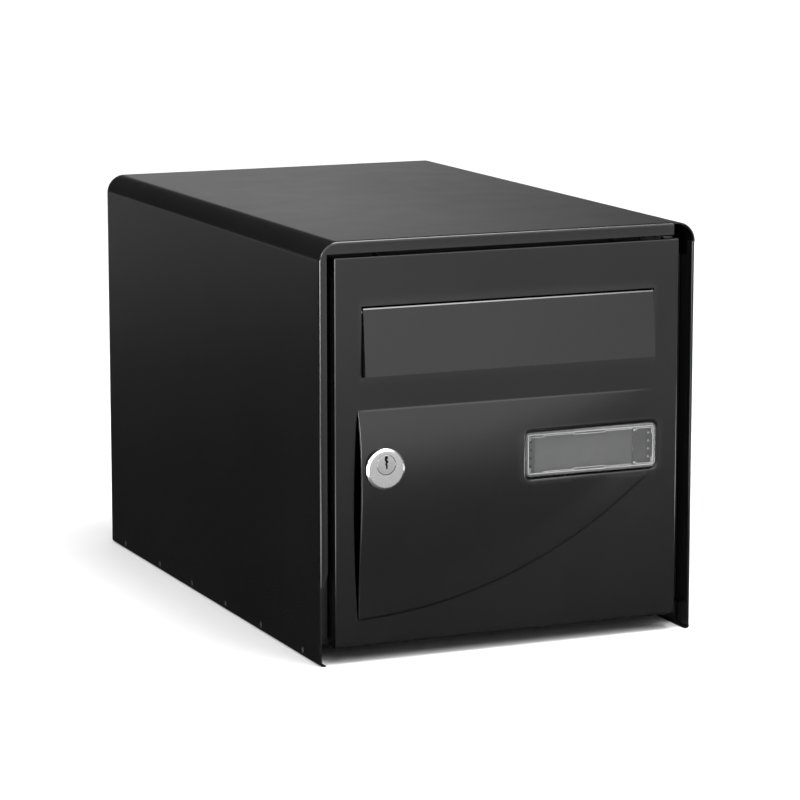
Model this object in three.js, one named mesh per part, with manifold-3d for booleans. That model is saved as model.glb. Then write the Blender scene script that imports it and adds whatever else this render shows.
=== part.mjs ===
// Lockable letter box in black painted sheet steel: a wrapped case that stands or hangs, and a front
// door with a letter flap, a name plate, a finger pull and a cam lock.
// Millimetres. x runs left to right, y from the front rim to the back, z up from the standing surface.
import * as THREE from "three";
import { mergeVertices } from "three/addons/utils/BufferGeometryUtils.js";
import Module from "manifold-3d";

const wasm = await Module();
wasm.setup();

// ---- driving dimensions ----
const gap = 0.3; // clearance between pieces that touch or run in each other
const sheet = 1; // steel sheet of every panel
const over = 5; // how far a cutting tool runs past what it cuts
const foremost = -30; // in front of everything

const box = { width: 285, height: 293, depth: 440, corner: 14 };
const curl = 4; // inward fold along the foot of each side wall
const frontFold = { top: 8.5, side: 5.5, foot: 55, cut: 10, endInset: 2.5 };
const hem = { thickness: 1, depth: 8 }; // folded front edge of the hinge-side wall
const rearFold = 14;

const floorTop = 16;
const floorFront = 15;
const floorLip = 3.3; // front edge of the floor, folded down
const floorNotch = { width: 26, depth: 3 }; // clears the door's hinge edge as it swings
const backRim = 12; // forward fold of the back panel
const fixing = { radius: 3.5, halfSpan: 90, backLow: 60, backHigh: 230, floorNear: 120, floorFar: 320 };

const rivet = { shank: 1.5, head: 2.5, headThick: 0.4, bed: 0.5, clear: 0.1, tailThick: 0.6, sides: 10 };
const floorRivets = { count: 6, firstInset: 33.4, endPitch: 80, height: 4.7 };

const door = { sideGap: 11.5, foot: 11.6, topGap: 11.4, setback: 1, returnDepth: 12 };
const hinge = {
  inset: 6.5,
  behindFace: 7,
  pin: 2,
  pinProud: 1, // pin past the leaf it runs in
  head: 3.5,
  headThick: 0.9,
  bushWall: 0.9,
  bushFlange: 1.2,
};
const bracket = {
  thick: 1.5,
  eye: 4.9,
  width: 16,
  overhang: 1.5, // leaf past the hinge axis, on the hinge side
  lift: 3.2, // room between the door's upper fold and the upper leaf
  tail: 20, // lower leaf behind the front of the inner frame
  notch: 12.4, // cut from both ends of the door's hinge-side return
  rivetFirst: 5,
  rivetPitch: 10,
  earInset: 0.5,
  earDrop: 2, // ear below the ceiling
  earRivetRise: 6, // ear rivets above the leaf
  earRivetInsets: [2.5, 12],
};

const slot = { sideMargin: 19.7, topMargin: 34, height: 48.8 };
const flap = {
  sideGap: 1,
  topGap: 1.4,
  bottomGap: 0.8,
  topStand: 1, // how far the flap's face stands in front of the door at its top edge
  bottomStand: 5.2,
  bevel: 0.8,
  foldProud: 0.6, // the flap's lower fold and cheeks behind the door's sheet
  pivotDrop: 4.4,
  rod: 1.5,
  rodClear: 0.1, // between the rod and the door's sheet
  rodProud: 3.6, // rod past the slot's side
  eye: 2.9,
  shoulder: 7, // start of the cheek's eye below the pivot
};
const flapBracketSize = { beside: 1.2, pad: 9, halfHeight: 8, behindPivot: 4 };
const guard = { overlap: 4.7, foot: 14, rise: 4.4, reach: 30, drop: 44, lean: 10 };

const sail = {
  sideMargin: 17,
  topDrop: 22.4, // below the letter slot
  foot: 17.9, // above the door's foot
  lead: 10,
  rightHeight: 56.1,
  rise: 6.5,
  scoop: 2.3,
  columns: 30,
  rows: 16,
};
const plate = { width: 102, height: 32.2, corner: 3.5, clear: 0.7, sink: 2, drop: 40.4, rightInset: 0.4 };
const plateStack = { base: 0.8, card: 0.4, cover: 1.2, wall: 1.2 };

const lock = {
  inset: 17, // from the open edge of the raised field to the lock's centre
  drop: 40.4,
  rosette: 14,
  rosetteThick: 4,
  bevel: 1,
  barrel: 9.5,
  barrelShort: 1, // barrel short of the door's return
  seat: 15.3,
  offset: 3.2, // plug above the rosette's centre
  plug: 6.8,
  plugSink: 2,
  shaft: 5,
  keyWide: 1.5,
  keyHigh: 9,
  keyDeep: 8,
};
const cam = { reach: 39, width: 14, thick: 2, boss: 8, behindReturn: 1 };
const camScrew = { shank: 1.7, head: 3.5, headThick: 2, grip: 5 };
const nut = { across: 13, thick: 4 };

const jamb = { strikeY: 11.5, strikeWidth: 8.7, leg: 20, hingeWidth: 20.7 };
const header = { front: 18.5, drop: 25, leg: 17 };
const bumper = { radius: 5, nose: 3.5, noseDeep: 1.5, spread: 90 };

// ---- values worked out from them ----
const wall = box.width / 2;
const inner = wall - sheet - gap; // outside of whatever stands against a side wall
const ceiling = box.height - sheet - gap;
const back = box.depth - sheet - gap; // rear face of the back panel

const doorHalf = wall - door.sideGap;
const doorTop = box.height - door.topGap;
const doorFace = door.setback;
const doorBack = doorFace + sheet;
const returnEnd = doorFace + door.returnDepth;

const slotHalf = doorHalf - slot.sideMargin;
const slotTop = doorTop - slot.topMargin;
const slotFoot = slotTop - slot.height;

const flapHalf = slotHalf - flap.sideGap;
const flapTop = slotTop - flap.topGap;
const flapFoot = slotFoot + flap.bottomGap;
const pivotY = doorBack + flap.rodClear + flap.rod;
const pivotZ = slotTop - flap.pivotDrop;

const sailLeft = -doorHalf + sail.sideMargin;
const sailRight = doorHalf - sail.sideMargin;
const sailTop = slotFoot - sail.topDrop;
const sailFoot = door.foot + sail.foot;
const arcX = sailLeft - sail.lead; // where the lower curve of the raised field is level
const arcSpan = sailRight - arcX;
const arcRise = sailTop - sail.rightHeight - sailFoot;
const arcRadius = (arcSpan ** 2 + arcRise ** 2) / (2 * arcRise);

const plateX = sailRight - plate.rightInset - plate.width / 2;
const plateZ = sailTop - plate.drop;
const pocketFloor = doorFace + plate.sink;

const lockX = sailLeft + lock.inset;
const lockZ = sailTop - lock.drop;
const plugZ = lockZ + lock.offset;
const seatY = doorFace - sailRise(lockX, lockZ);
const rosetteBack = seatY - gap;
const rosetteFront = rosetteBack - lock.rosetteThick;
const camFront = returnEnd + cam.behindReturn;

const hingeX = doorHalf - hinge.inset;
const hingeY = doorFace + hinge.behindFace;

// ---- solids ----
function solid(geometry) {
  const bare = geometry.index ? geometry.toNonIndexed() : geometry.clone();
  bare.deleteAttribute("normal");
  bare.deleteAttribute("uv");
  const merged = mergeVertices(bare, 1e-4);
  const mesh = new wasm.Mesh({
    numProp: 3,
    vertProperties: merged.attributes.position.array,
    triVerts: new Uint32Array(merged.index.array),
  });
  return new wasm.Manifold(mesh);
}

function join(...solids) {
  return solids.reduce((whole, piece) => whole.add(piece));
}

function cut(whole, ...tools) {
  return tools.reduce((rest, tool) => rest.subtract(tool), whole);
}

function block(x0, x1, y0, y1, z0, z1) {
  const shape = new THREE.BoxGeometry(x1 - x0, y1 - y0, z1 - z0);
  return solid(shape.translate((x0 + x1) / 2, (y0 + y1) / 2, (z0 + z1) / 2));
}

function extruded(shape, depth, segments) {
  return new THREE.ExtrudeGeometry(shape, { depth, bevelEnabled: false, curveSegments: segments });
}

// An outline drawn in x and z, from y0 to y1.
function frontal(shape, y0, y1, segments = 4) {
  return solid(extruded(shape, y1 - y0, segments).rotateX(Math.PI / 2).translate(0, y1, 0));
}

// An outline drawn in y and z, from x0 to x1.
function sideways(shape, x0, x1, segments = 4) {
  const turn = new THREE.Matrix4().makeBasis(
    new THREE.Vector3(0, 1, 0),
    new THREE.Vector3(0, 0, 1),
    new THREE.Vector3(1, 0, 0),
  );
  return solid(extruded(shape, x1 - x0, segments).applyMatrix4(turn).translate(x0, 0, 0));
}

// An outline drawn in x and y, from z0 to z1.
function flat(shape, z0, z1, segments = 4) {
  return solid(extruded(shape, z1 - z0, segments).translate(0, 0, z0));
}

function polygon(points) {
  return new THREE.Shape(points.map(([a, b]) => new THREE.Vector2(a, b)));
}

function roundedRectangle(halfWidth, halfHeight, radius, centreA, centreB) {
  const shape = new THREE.Shape();
  const across = halfWidth - radius;
  const up = halfHeight - radius;
  const quarter = Math.PI / 2;
  shape.absarc(centreA - across, centreB - up, radius, 2 * quarter, 3 * quarter);
  shape.absarc(centreA + across, centreB - up, radius, 3 * quarter, 4 * quarter);
  shape.absarc(centreA + across, centreB + up, radius, 0, quarter);
  shape.absarc(centreA - across, centreB + up, radius, quarter, 2 * quarter);
  shape.closePath();
  return shape;
}

// Turns that carry an upright lathe's axis onto x, y or z.
const onto = {
  x: (geometry) => geometry.rotateZ(-Math.PI / 2),
  y: (geometry) => geometry,
  z: (geometry) => geometry.rotateX(Math.PI / 2),
};

// A round bar along an axis, from low to high, whose centre line passes through the point at.
function bar(axis, radius, low, high, at, segments = 16) {
  const profile = [
    [0, low],
    [radius, low],
    [radius, high],
    [0, high],
  ];
  return turned(axis, profile, at, segments);
}

// A turned piece from [radius, place along the axis] points.
function turned(axis, profile, at, segments = 16) {
  const points = profile.map(([radius, along]) => new THREE.Vector2(radius, along));
  if (profile[0][0] > 0) points.push(points[0].clone());
  const geometry = onto[axis](new THREE.LatheGeometry(points, segments));
  const [x, y, z] = at;
  return solid(geometry.translate(x, y, z));
}

// ---- case outline ----
// The arch of the case: straight sides and rounded upper corners, drawn inset from the outside.
function arch(inset, foot) {
  const half = wall - inset;
  const radius = box.corner - inset;
  const springing = box.height - box.corner;
  const shape = new THREE.Shape();
  shape.moveTo(half, foot);
  shape.lineTo(half, springing);
  shape.absarc(wall - box.corner, springing, radius, 0, Math.PI / 2);
  shape.absarc(-wall + box.corner, springing, radius, Math.PI / 2, Math.PI);
  shape.lineTo(-half, foot);
  shape.closePath();
  return shape;
}

function rivetPlaces() {
  const { count, firstInset, endPitch } = floorRivets;
  const first = firstInset + endPitch;
  const pitch = (box.depth - 2 * first) / (count - 3);
  const middle = Array.from({ length: count - 2 }, (_, i) => first + i * pitch);
  return [firstInset, ...middle, box.depth - firstInset];
}

// Two places at the same distances left or right of the middle, lower one first.
function span(side, near, far) {
  return side > 0 ? [near, far] : [-far, -near];
}

function shellRivetHoles() {
  const tools = [];
  for (const side of [-1, 1]) {
    for (const y of rivetPlaces()) {
      const at = [0, y, floorRivets.height];
      const ends = span(side, wall - 3 * sheet, wall + over);
      const bed = span(side, wall - rivet.bed, wall + over);
      tools.push(bar("x", rivet.shank + rivet.clear, ...ends, at, rivet.sides));
      tools.push(bar("x", rivet.head + rivet.clear, ...bed, at, rivet.sides));
    }
  }
  return tools;
}

function outerShell() {
  const tunnel = cut(
    frontal(arch(0, 0), 0, box.depth, 5),
    frontal(arch(sheet, sheet), -over, box.depth + over, 5),
    block(-wall + curl, wall - curl, -over, box.depth + over, -over, 2 * sheet),
  );
  const { top, side, foot, cut: slant, endInset } = frontFold;
  const foldLine = box.height - top;
  const foldEnd = wall - box.corner - endInset;
  const fold = polygon([
    [-wall, foot],
    [-wall + side, foot + slant],
    [-wall + side, foldLine],
    [foldEnd, foldLine],
    [foldEnd, box.height],
    [-wall, box.height],
  ]);
  const frontFlange = frontal(arch(0, 0), 0, sheet, 5).intersect(frontal(fold, -over, over));
  const rearFlange = cut(
    frontal(arch(0, 0), box.depth - sheet, box.depth, 5),
    block(-wall + rearFold, wall - rearFold, 0, box.depth + over, -over, box.height - rearFold),
  );
  const foldedEdge = block(
    wall - sheet - hem.thickness,
    wall - sheet / 2,
    0,
    hem.depth,
    sheet / 2,
    box.height - box.corner,
  );
  return cut(join(tunnel, frontFlange, rearFlange, foldedEdge), ...shellRivetHoles());
}

function floorPanel() {
  const rear = back - sheet - gap;
  const foot = sheet + gap;
  const blank = block(-inner, inner, floorFront, rear, foot, floorTop);
  const under = inner - sheet;
  const hollow = block(-under, under, floorFront + sheet, rear - sheet, foot - over, floorTop - sheet);
  const lip = floorTop - floorLip;
  const mouth = block(-under, under, floorFront - over, floorFront + 2 * sheet, foot - over, lip);
  const notchEnd = floorFront + floorNotch.depth;
  const notch = block(inner - floorNotch.width, wall, floorFront - over, notchEnd, foot - over, box.height);
  const holes = [];
  for (const x of [-fixing.halfSpan, fixing.halfSpan]) {
    for (const y of [fixing.floorNear, fixing.floorFar]) {
      holes.push(bar("z", fixing.radius, floorTop - over, floorTop + over, [x, y, 0]));
    }
  }
  for (const y of rivetPlaces()) {
    holes.push(bar("x", rivet.shank + rivet.clear, -wall, wall, [0, y, floorRivets.height], rivet.sides));
  }
  for (const [x, y] of lowerBracketRivets()) {
    holes.push(rivetHole("z", floorTop, [x, y, 0]));
  }
  return cut(blank, hollow, mouth, notch, ...holes);
}

function backPanel() {
  const outline = arch(sheet + gap, sheet + gap);
  const wallPart = frontal(outline, back - sheet, back, 5);
  const rim = cut(
    frontal(outline, back - sheet - backRim, back - sheet / 2, 5),
    frontal(arch(2 * sheet + gap, 0), 0, box.depth, 5),
    block(-wall, wall, 0, back - sheet, -over, floorTop + sheet),
  );
  const holes = [];
  for (const x of [-fixing.halfSpan, fixing.halfSpan]) {
    for (const z of [fixing.backLow, fixing.backHigh]) {
      holes.push(bar("y", fixing.radius, back - over, back + over, [x, 0, z]));
    }
  }
  return cut(join(wallPart, rim), ...holes);
}

function sideRivet(side, y) {
  const outside = wall;
  const head = outside - rivet.headThick;
  const behind = inner - sheet - rivet.clear;
  const tail = behind - rivet.tailThick;
  const profile = [
    [0, side * tail],
    [rivet.head, side * tail],
    [rivet.head, side * behind],
    [rivet.shank, side * behind],
    [rivet.shank, side * head],
    [rivet.head, side * head],
    [rivet.head, side * outside],
    [0, side * outside],
  ];
  return turned("x", side > 0 ? profile : profile.reverse(), [0, y, floorRivets.height], rivet.sides);
}

// A cutting tool for a rivet's hole through sheet at one place along an axis.
function rivetHole(axis, place, at) {
  return bar(axis, rivet.shank + rivet.clear, place - over, place + over, at, rivet.sides);
}

// ---- inner frame behind the door ----
function lockJamb() {
  const foot = floorTop + gap;
  const top = box.height - header.drop - gap;
  const { strikeY, strikeWidth, leg } = jamb;
  return join(
    block(-inner, -inner + strikeWidth, strikeY, strikeY + sheet, foot, top),
    block(-inner, -inner + sheet, strikeY, strikeY + leg, foot, top),
  );
}

function hingeJamb() {
  const foot = lowerPlate + bracket.thick + 2 * gap;
  const top = box.height - header.drop - gap;
  const y = header.front;
  return join(
    block(inner - jamb.hingeWidth, inner, y, y + sheet, foot, top),
    block(inner - sheet, inner, y, y + jamb.leg, foot, top),
  );
}

function headerRail() {
  const half = wall - box.corner;
  const y = header.front;
  const holes = upperBracketRivets().map(([x, z]) => rivetHole("y", y, [x, 0, z]));
  return cut(
    join(
      block(-half, half, y, y + sheet, box.height - header.drop, ceiling),
      block(-half, half, y, y + sheet + header.leg, ceiling - sheet, ceiling),
    ),
    ...holes,
  );
}

function doorBumper(side) {
  const z = doorTop - sheet / 2;
  const back = header.front - gap;
  const front = returnEnd + gap;
  const profile = [
    [0, front],
    [bumper.nose, front],
    [bumper.radius, front + bumper.noseDeep],
    [bumper.radius, back],
    [0, back],
  ];
  return turned("y", profile, [side * bumper.spread, 0, z], 12);
}

// ---- door hinge ----
// Undersides of the two leaves.
const lowerPlate = floorTop + gap;
const upperPlate = doorTop - sheet - bracket.lift - bracket.thick;

function lowerBracketRivets() {
  const x = hingeX - bracket.width / 2;
  const y = header.front + bracket.rivetFirst;
  return [
    [x, y],
    [x, y + bracket.rivetPitch],
  ];
}

function upperBracketRivets() {
  const z = upperPlate + bracket.thick + bracket.earRivetRise;
  return bracket.earRivetInsets.map((inset) => [hingeX - bracket.width + inset, z]);
}

// A leaf with an eye round the hinge axis, running back from it on the lock side of the axis.
function hingeLeaf(z, tail) {
  const leaf = new THREE.Shape();
  leaf.moveTo(hingeX - bracket.width, tail);
  leaf.lineTo(hingeX - bracket.width, hingeY + bracket.eye);
  leaf.lineTo(hingeX - bracket.eye, hingeY);
  leaf.absarc(hingeX, hingeY, bracket.eye, Math.PI, 2 * Math.PI);
  leaf.lineTo(hingeX + bracket.overhang, hingeY + bracket.eye);
  leaf.lineTo(hingeX + bracket.overhang, tail);
  leaf.closePath();
  const hole = hinge.pin + 2 * gap + hinge.bushWall;
  return cut(
    flat(leaf, z, z + bracket.thick, 6),
    bar("z", hole, z - over, z + bracket.thick + over, [hingeX, hingeY, 0]),
  );
}

function lowerHingeBracket() {
  const holes = lowerBracketRivets().map(([x, y]) => rivetHole("z", lowerPlate, [x, y, 0]));
  return cut(hingeLeaf(lowerPlate, header.front + bracket.tail), ...holes);
}

function upperHingeBracket() {
  const rear = header.front - gap;
  const ear = block(
    hingeX - bracket.width,
    hingeX - bracket.earInset,
    rear - sheet,
    rear,
    upperPlate + bracket.thick / 2,
    ceiling - bracket.earDrop,
  );
  const holes = upperBracketRivets().map(([x, z]) => rivetHole("y", rear, [x, 0, z]));
  return cut(join(hingeLeaf(upperPlate, rear), ear), ...holes);
}

// A rivet with a round head each side of a stack of sheet, along one axis.
function plainRivet(axis, low, high, at) {
  const l = low - rivet.clear;
  const h = high + rivet.clear;
  const profile = [
    [0, l - rivet.tailThick],
    [rivet.head, l - rivet.tailThick],
    [rivet.head, l],
    [rivet.shank, l],
    [rivet.shank, h],
    [rivet.head, h],
    [rivet.head, h + rivet.tailThick],
    [0, h + rivet.tailThick],
  ];
  return turned(axis, profile, at, rivet.sides);
}

// The pin hangs in the door's end fold and runs in the bush; up is 1 at the foot and -1 at the top.
function hingePin(up, foldOutside, end) {
  const head = foldOutside - up * gap;
  const profile = [
    [0, head - up * hinge.headThick],
    [hinge.head, head - up * hinge.headThick],
    [hinge.head, head],
    [hinge.pin, head],
    [hinge.pin, end],
    [0, end],
  ];
  return turned("z", up > 0 ? profile : profile.reverse(), [hingeX, hingeY, 0], 12);
}

// A flanged bush: its flange fills the room between the door's end fold and the leaf.
function hingeBush(up, foldInside, leafNear, leafFar) {
  const bore = hinge.pin + gap;
  const sleeve = bore + hinge.bushWall;
  const profile = [
    [bore, foldInside + up * gap],
    [sleeve + hinge.bushFlange, foldInside + up * gap],
    [sleeve + hinge.bushFlange, leafNear - up * gap],
    [sleeve, leafNear - up * gap],
    [sleeve, leafFar + up * gap],
    [bore, leafFar + up * gap],
  ];
  return turned("z", up > 0 ? profile : profile.reverse(), [hingeX, hingeY, 0], 16);
}

// ---- door ----
function sailEdge(x) {
  return sailFoot + arcRadius - Math.sqrt(arcRadius ** 2 - (x - arcX) ** 2);
}

// How far the raised field stands in front of the door's face.
function sailRise(x, z) {
  const high = sailTop - sailEdge(x);
  const across = (x - sailLeft) / (sailRight - sailLeft);
  const up = (z - sailEdge(x)) / high;
  const fade = (high / (sailTop - sailEdge(sailLeft))) * (1 - across ** 4);
  return sail.rise * fade * 4 * up * (1 - up);
}

// The raised field between two surfaces, each worked out from the depth of its front surface.
function sailSolid(near, far) {
  const { columns, rows } = sail;
  const positions = [];
  const point = (i, j, deep) => {
    const x = sailColumn(i);
    const z = sailEdge(x) + ((sailTop - sailEdge(x)) * j) / rows;
    const front = doorFace - sailRise(x, z);
    return [x, deep ? far(front) : near(front), z];
  };
  const quad = (a, b, c, d) => positions.push(...a, ...b, ...c, ...a, ...c, ...d);
  for (let i = 0; i < columns; i += 1) {
    for (let j = 0; j < rows; j += 1) {
      quad(point(i, j), point(i + 1, j), point(i + 1, j + 1), point(i, j + 1));
      quad(point(i, j, 1), point(i, j + 1, 1), point(i + 1, j + 1, 1), point(i + 1, j, 1));
    }
    quad(point(i, 0), point(i, 0, 1), point(i + 1, 0, 1), point(i + 1, 0));
    quad(point(i, rows), point(i + 1, rows), point(i + 1, rows, 1), point(i, rows, 1));
  }
  for (let j = 0; j < rows; j += 1) {
    quad(point(0, j), point(0, j + 1), point(0, j + 1, 1), point(0, j, 1));
    quad(point(columns, j), point(columns, j, 1), point(columns, j + 1, 1), point(columns, j + 1));
  }
  const geometry = new THREE.BufferGeometry();
  geometry.setAttribute("position", new THREE.Float32BufferAttribute(positions, 3));
  return solid(geometry);
}

function sailColumn(i) {
  return sailLeft + ((sailRight - sailLeft) * i) / sail.columns;
}

// The opening in the flat sheet under the raised field, scooped back along the finger pull.
function sailOpening() {
  const points = [
    [sailLeft, sailTop],
    [sailRight, sailTop],
  ];
  for (let i = sail.columns; i >= 0; i -= 1) points.push([sailColumn(i), sailEdge(sailColumn(i))]);
  const low = sailEdge(sailLeft);
  for (let j = 1; j < sail.rows; j += 1) {
    const t = j / sail.rows;
    points.push([sailLeft - sail.scoop * 4 * t * (1 - t), low + (sailTop - low) * t]);
  }
  return frontal(polygon(points), -over, over);
}

// The outline of the recess that holds the name plate.
function platePocket(grow) {
  const halfWidth = plate.width / 2 + plate.clear + grow;
  const halfHeight = plate.height / 2 + plate.clear + grow;
  return roundedRectangle(halfWidth, halfHeight, plate.corner + plate.clear + grow, plateX, plateZ);
}

// The block that the recess is sunk in: it reaches up to just under the skin of the raised field.
function plateBlock() {
  const rear = pocketFloor + sheet;
  const base = frontal(platePocket(sheet), doorFace + 0.6 * sheet, rear, 3);
  const underSkin = sailSolid(
    (front) => front + sheet / 2,
    () => rear - 0.7 * sheet,
  );
  return join(base, frontal(platePocket(0.9 * sheet), foremost, rear, 3).intersect(underSkin));
}

function doorPanel() {
  const { notch } = bracket;
  const blank = block(-doorHalf, doorHalf, doorFace, returnEnd, door.foot, doorTop);
  const behind = [doorBack, returnEnd + over];
  const hingeEdge = [doorHalf - 1.5 * sheet, doorHalf + over];
  const pan = cut(
    blank,
    block(-doorHalf + sheet, doorHalf - sheet, ...behind, door.foot + sheet, doorTop - sheet),
    block(...hingeEdge, ...behind, door.foot + sheet, door.foot + notch),
    block(...hingeEdge, ...behind, doorTop - notch, doorTop - sheet),
    block(-slotHalf, slotHalf, -over, over, slotFoot, slotTop),
    sailOpening(),
    bar("z", hinge.pin + gap, -over, box.height + over, [hingeX, hingeY, 0]),
  );
  const field = sailSolid(
    (front) => front,
    (front) => front + sheet,
  );
  const centre = [lockX, 0, lockZ];
  const seat = bar("y", lock.seat, seatY, seatY + sheet, centre, 28);
  return cut(
    join(pan, field, plateBlock(), seat),
    frontal(platePocket(0), foremost, pocketFloor, 3),
    bar("y", lock.rosette + gap, foremost, seatY, centre, 28),
    bar("y", lock.rosette + gap, seatY + sheet, returnEnd, centre, 28),
    bar("y", lock.barrel + gap, foremost, returnEnd, centre, 24),
  );
}

// ---- letter flap ----
function letterFlap() {
  const topY = doorFace - flap.topStand;
  const footY = doorFace - flap.bottomStand;
  const { bevel } = flap;
  const bevelY = topY + ((footY - topY) * bevel) / (flapTop - flapFoot);
  const foldEnd = doorBack + flap.foldProud;
  const profile = polygon([
    [footY, flapFoot],
    [foldEnd, flapFoot],
    [foldEnd, flapFoot + sheet],
    [footY + 2 * sheet, flapFoot + sheet],
    [topY + sheet, flapTop],
    [topY + bevel, flapTop],
    [bevelY, flapTop - bevel],
  ]);
  const cheek = polygon([
    [footY + sheet / 2, flapFoot],
    [foldEnd, flapFoot],
    [foldEnd, pivotZ - flap.shoulder],
    [pivotY + flap.eye, pivotZ - flap.eye / 3],
    [pivotY + flap.eye, pivotZ + flap.eye / 3],
    [pivotY + flap.eye / 3, pivotZ + flap.eye],
    [topY + bevel, pivotZ + flap.eye],
  ]);
  const whole = join(
    sideways(profile, -flapHalf, flapHalf),
    sideways(cheek, -flapHalf, -flapHalf + sheet),
    sideways(cheek, flapHalf - sheet, flapHalf),
  );
  return cut(whole, bar("x", flap.rod + gap, -wall, wall, [0, pivotY, pivotZ]));
}

function flapRod() {
  const end = slotHalf + flap.rodProud;
  return bar("x", flap.rod, -end, end, [0, pivotY, pivotZ]);
}

function flapBracket(side) {
  const { beside, pad, halfHeight, behindPivot } = flapBracketSize;
  const near = slotHalf + beside;
  const foot = doorBack + gap;
  const tall = [pivotZ - halfHeight, pivotZ + halfHeight];
  const ear = block(...span(side, near, near + sheet), foot, pivotY + behindPivot, ...tall);
  const base = block(...span(side, near, near + pad), foot, foot + sheet, ...tall);
  return cut(join(ear, base), bar("x", flap.rod + gap, -wall, wall, [0, pivotY, pivotZ]));
}

function slotGuard() {
  const front = doorBack + gap;
  const low = slotTop + guard.rise;
  const top = low + guard.foot;
  const profile = polygon([
    [front, low],
    [front + sheet, low],
    [front + sheet, top - sheet],
    [guard.reach - sheet, top - sheet],
    [guard.reach + guard.lean - sheet, top - guard.drop],
    [guard.reach + guard.lean, top - guard.drop],
    [guard.reach, top],
    [front, top],
  ]);
  const half = slotHalf + guard.overlap;
  return sideways(profile, -half, half);
}

// ---- name plate ----
function plateLayer(inset, y0, y1) {
  const shape = roundedRectangle(
    plate.width / 2 - inset,
    plate.height / 2 - inset,
    Math.max(plate.corner - inset, 1),
    plateX,
    plateZ,
  );
  return frontal(shape, y0, y1, 3);
}

const baseBack = pocketFloor - gap;
const baseFront = baseBack - plateStack.base;
const cardBack = baseFront - gap;
const cardFront = cardBack - plateStack.card;
const coverBack = cardFront - gap;
const coverFront = coverBack - plateStack.cover;

function plateCover() {
  const hollow = plateLayer(plateStack.wall, coverBack, baseBack + over);
  return cut(plateLayer(0, coverFront, baseBack), hollow);
}

// ---- lock ----
function lockBody() {
  const { rosette, bevel, barrel, shaft } = lock;
  const end = returnEnd - lock.barrelShort;
  const profile = [
    [0, rosetteFront],
    [rosette - bevel, rosetteFront],
    [rosette, rosetteFront + bevel],
    [rosette, rosetteBack],
    [barrel, rosetteBack],
    [barrel, end],
    [0, end],
  ];
  const headFloor = rosetteFront + lock.plugSink + gap;
  return cut(
    turned("y", profile, [lockX, 0, lockZ], 32),
    bar("y", lock.plug + gap, foremost, headFloor, [lockX, 0, plugZ], 24),
    bar("y", shaft + gap, foremost, end + over, [lockX, 0, plugZ], 20),
  );
}

function lockPlug() {
  const head = rosetteFront + lock.plugSink;
  const end = camFront - gap;
  const profile = [
    [0, rosetteFront],
    [lock.plug, rosetteFront],
    [lock.plug, head],
    [lock.shaft, head],
    [lock.shaft, end],
    [0, end],
  ];
  const { keyWide, keyHigh, keyDeep } = lock;
  const keyway = block(
    lockX - keyWide / 2,
    lockX + keyWide / 2,
    rosetteFront - over,
    rosetteFront + keyDeep,
    plugZ - keyHigh / 2,
    plugZ + keyHigh / 2,
  );
  return cut(
    turned("y", profile, [lockX, 0, plugZ], 24),
    keyway,
    bar("y", camScrew.shank + gap, end - camScrew.grip, end + over, [lockX, 0, plugZ], 12),
  );
}

// The cam hangs straight down while unlocked, and a quarter turn brings it behind the strike.
function lockCam() {
  const half = cam.width / 2;
  const outline = new THREE.Shape();
  outline.moveTo(lockX - half, plugZ - cam.reach);
  outline.lineTo(lockX + half, plugZ - cam.reach);
  outline.lineTo(lockX + cam.boss, plugZ);
  outline.absarc(lockX, plugZ, cam.boss, 0, Math.PI);
  outline.closePath();
  return cut(
    frontal(outline, camFront, camFront + cam.thick, 5),
    bar("y", camScrew.shank + gap, camFront - over, camFront + cam.thick + over, [lockX, 0, plugZ], 12),
  );
}

function camScrewSolid() {
  const seat = camFront + cam.thick + gap;
  const tip = camFront - camScrew.grip + 2 * gap;
  const profile = [
    [0, tip],
    [camScrew.shank, tip],
    [camScrew.shank, seat],
    [camScrew.head, seat],
    [camScrew.head, seat + camScrew.headThick],
    [0, seat + camScrew.headThick],
  ];
  return turned("y", profile, [lockX, 0, plugZ], 12);
}

function lockNut() {
  const hexagon = Array.from({ length: 6 }, (_, i) => {
    const angle = (i * Math.PI) / 3;
    return [lockX + nut.across * Math.cos(angle), lockZ + nut.across * Math.sin(angle)];
  });
  const y0 = seatY + sheet + gap;
  return cut(
    frontal(polygon(hexagon), y0, y0 + nut.thick),
    bar("y", lock.barrel + gap, y0 - over, y0 + nut.thick + over, [lockX, 0, lockZ], 24),
  );
}

// ---- finishes ----
const finishes = {
  paint: { color: 0x17181a, roughness: 0.34, metalness: 0 },
  zinc: { color: 0x9aa0a4, roughness: 0.45, metalness: 1 },
  chrome: { color: 0xc9cbcd, roughness: 0.16, metalness: 1 },
  clear: { color: 0xdfe3e6, roughness: 0.08, metalness: 0, transparent: true, opacity: 0.35 },
  grey: { color: 0x6f7275, roughness: 0.6, metalness: 0 },
  nylon: { color: 0xe4e2da, roughness: 0.5, metalness: 0 },
  rubber: { color: 0x101010, roughness: 0.9, metalness: 0 },
};

const assembly = new THREE.Group();

function add(name, finish, shape) {
  const made = shape.getMesh();
  const geometry = new THREE.BufferGeometry();
  geometry.setAttribute("position", new THREE.BufferAttribute(made.vertProperties, 3));
  geometry.setIndex(new THREE.BufferAttribute(made.triVerts, 1));
  const mesh = new THREE.Mesh(geometry, new THREE.MeshStandardMaterial(finishes[finish]));
  mesh.name = name;
  assembly.add(mesh);
}

// ---- case ----
add("outer_shell", "paint", outerShell());
add("floor_panel", "paint", floorPanel());
add("back_panel", "paint", backPanel());
add("lock_side_jamb", "paint", lockJamb());
add("hinge_side_jamb", "paint", hingeJamb());
add("header_rail", "paint", headerRail());
const sides = [
  ["left", -1],
  ["right", 1],
];
for (const [name, side] of sides) {
  add(`door_bumper_${name}`, "rubber", doorBumper(side));
  rivetPlaces().forEach((y, i) => add(`floor_rivet_${name}_${i + 1}`, "zinc", sideRivet(side, y)));
}

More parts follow.
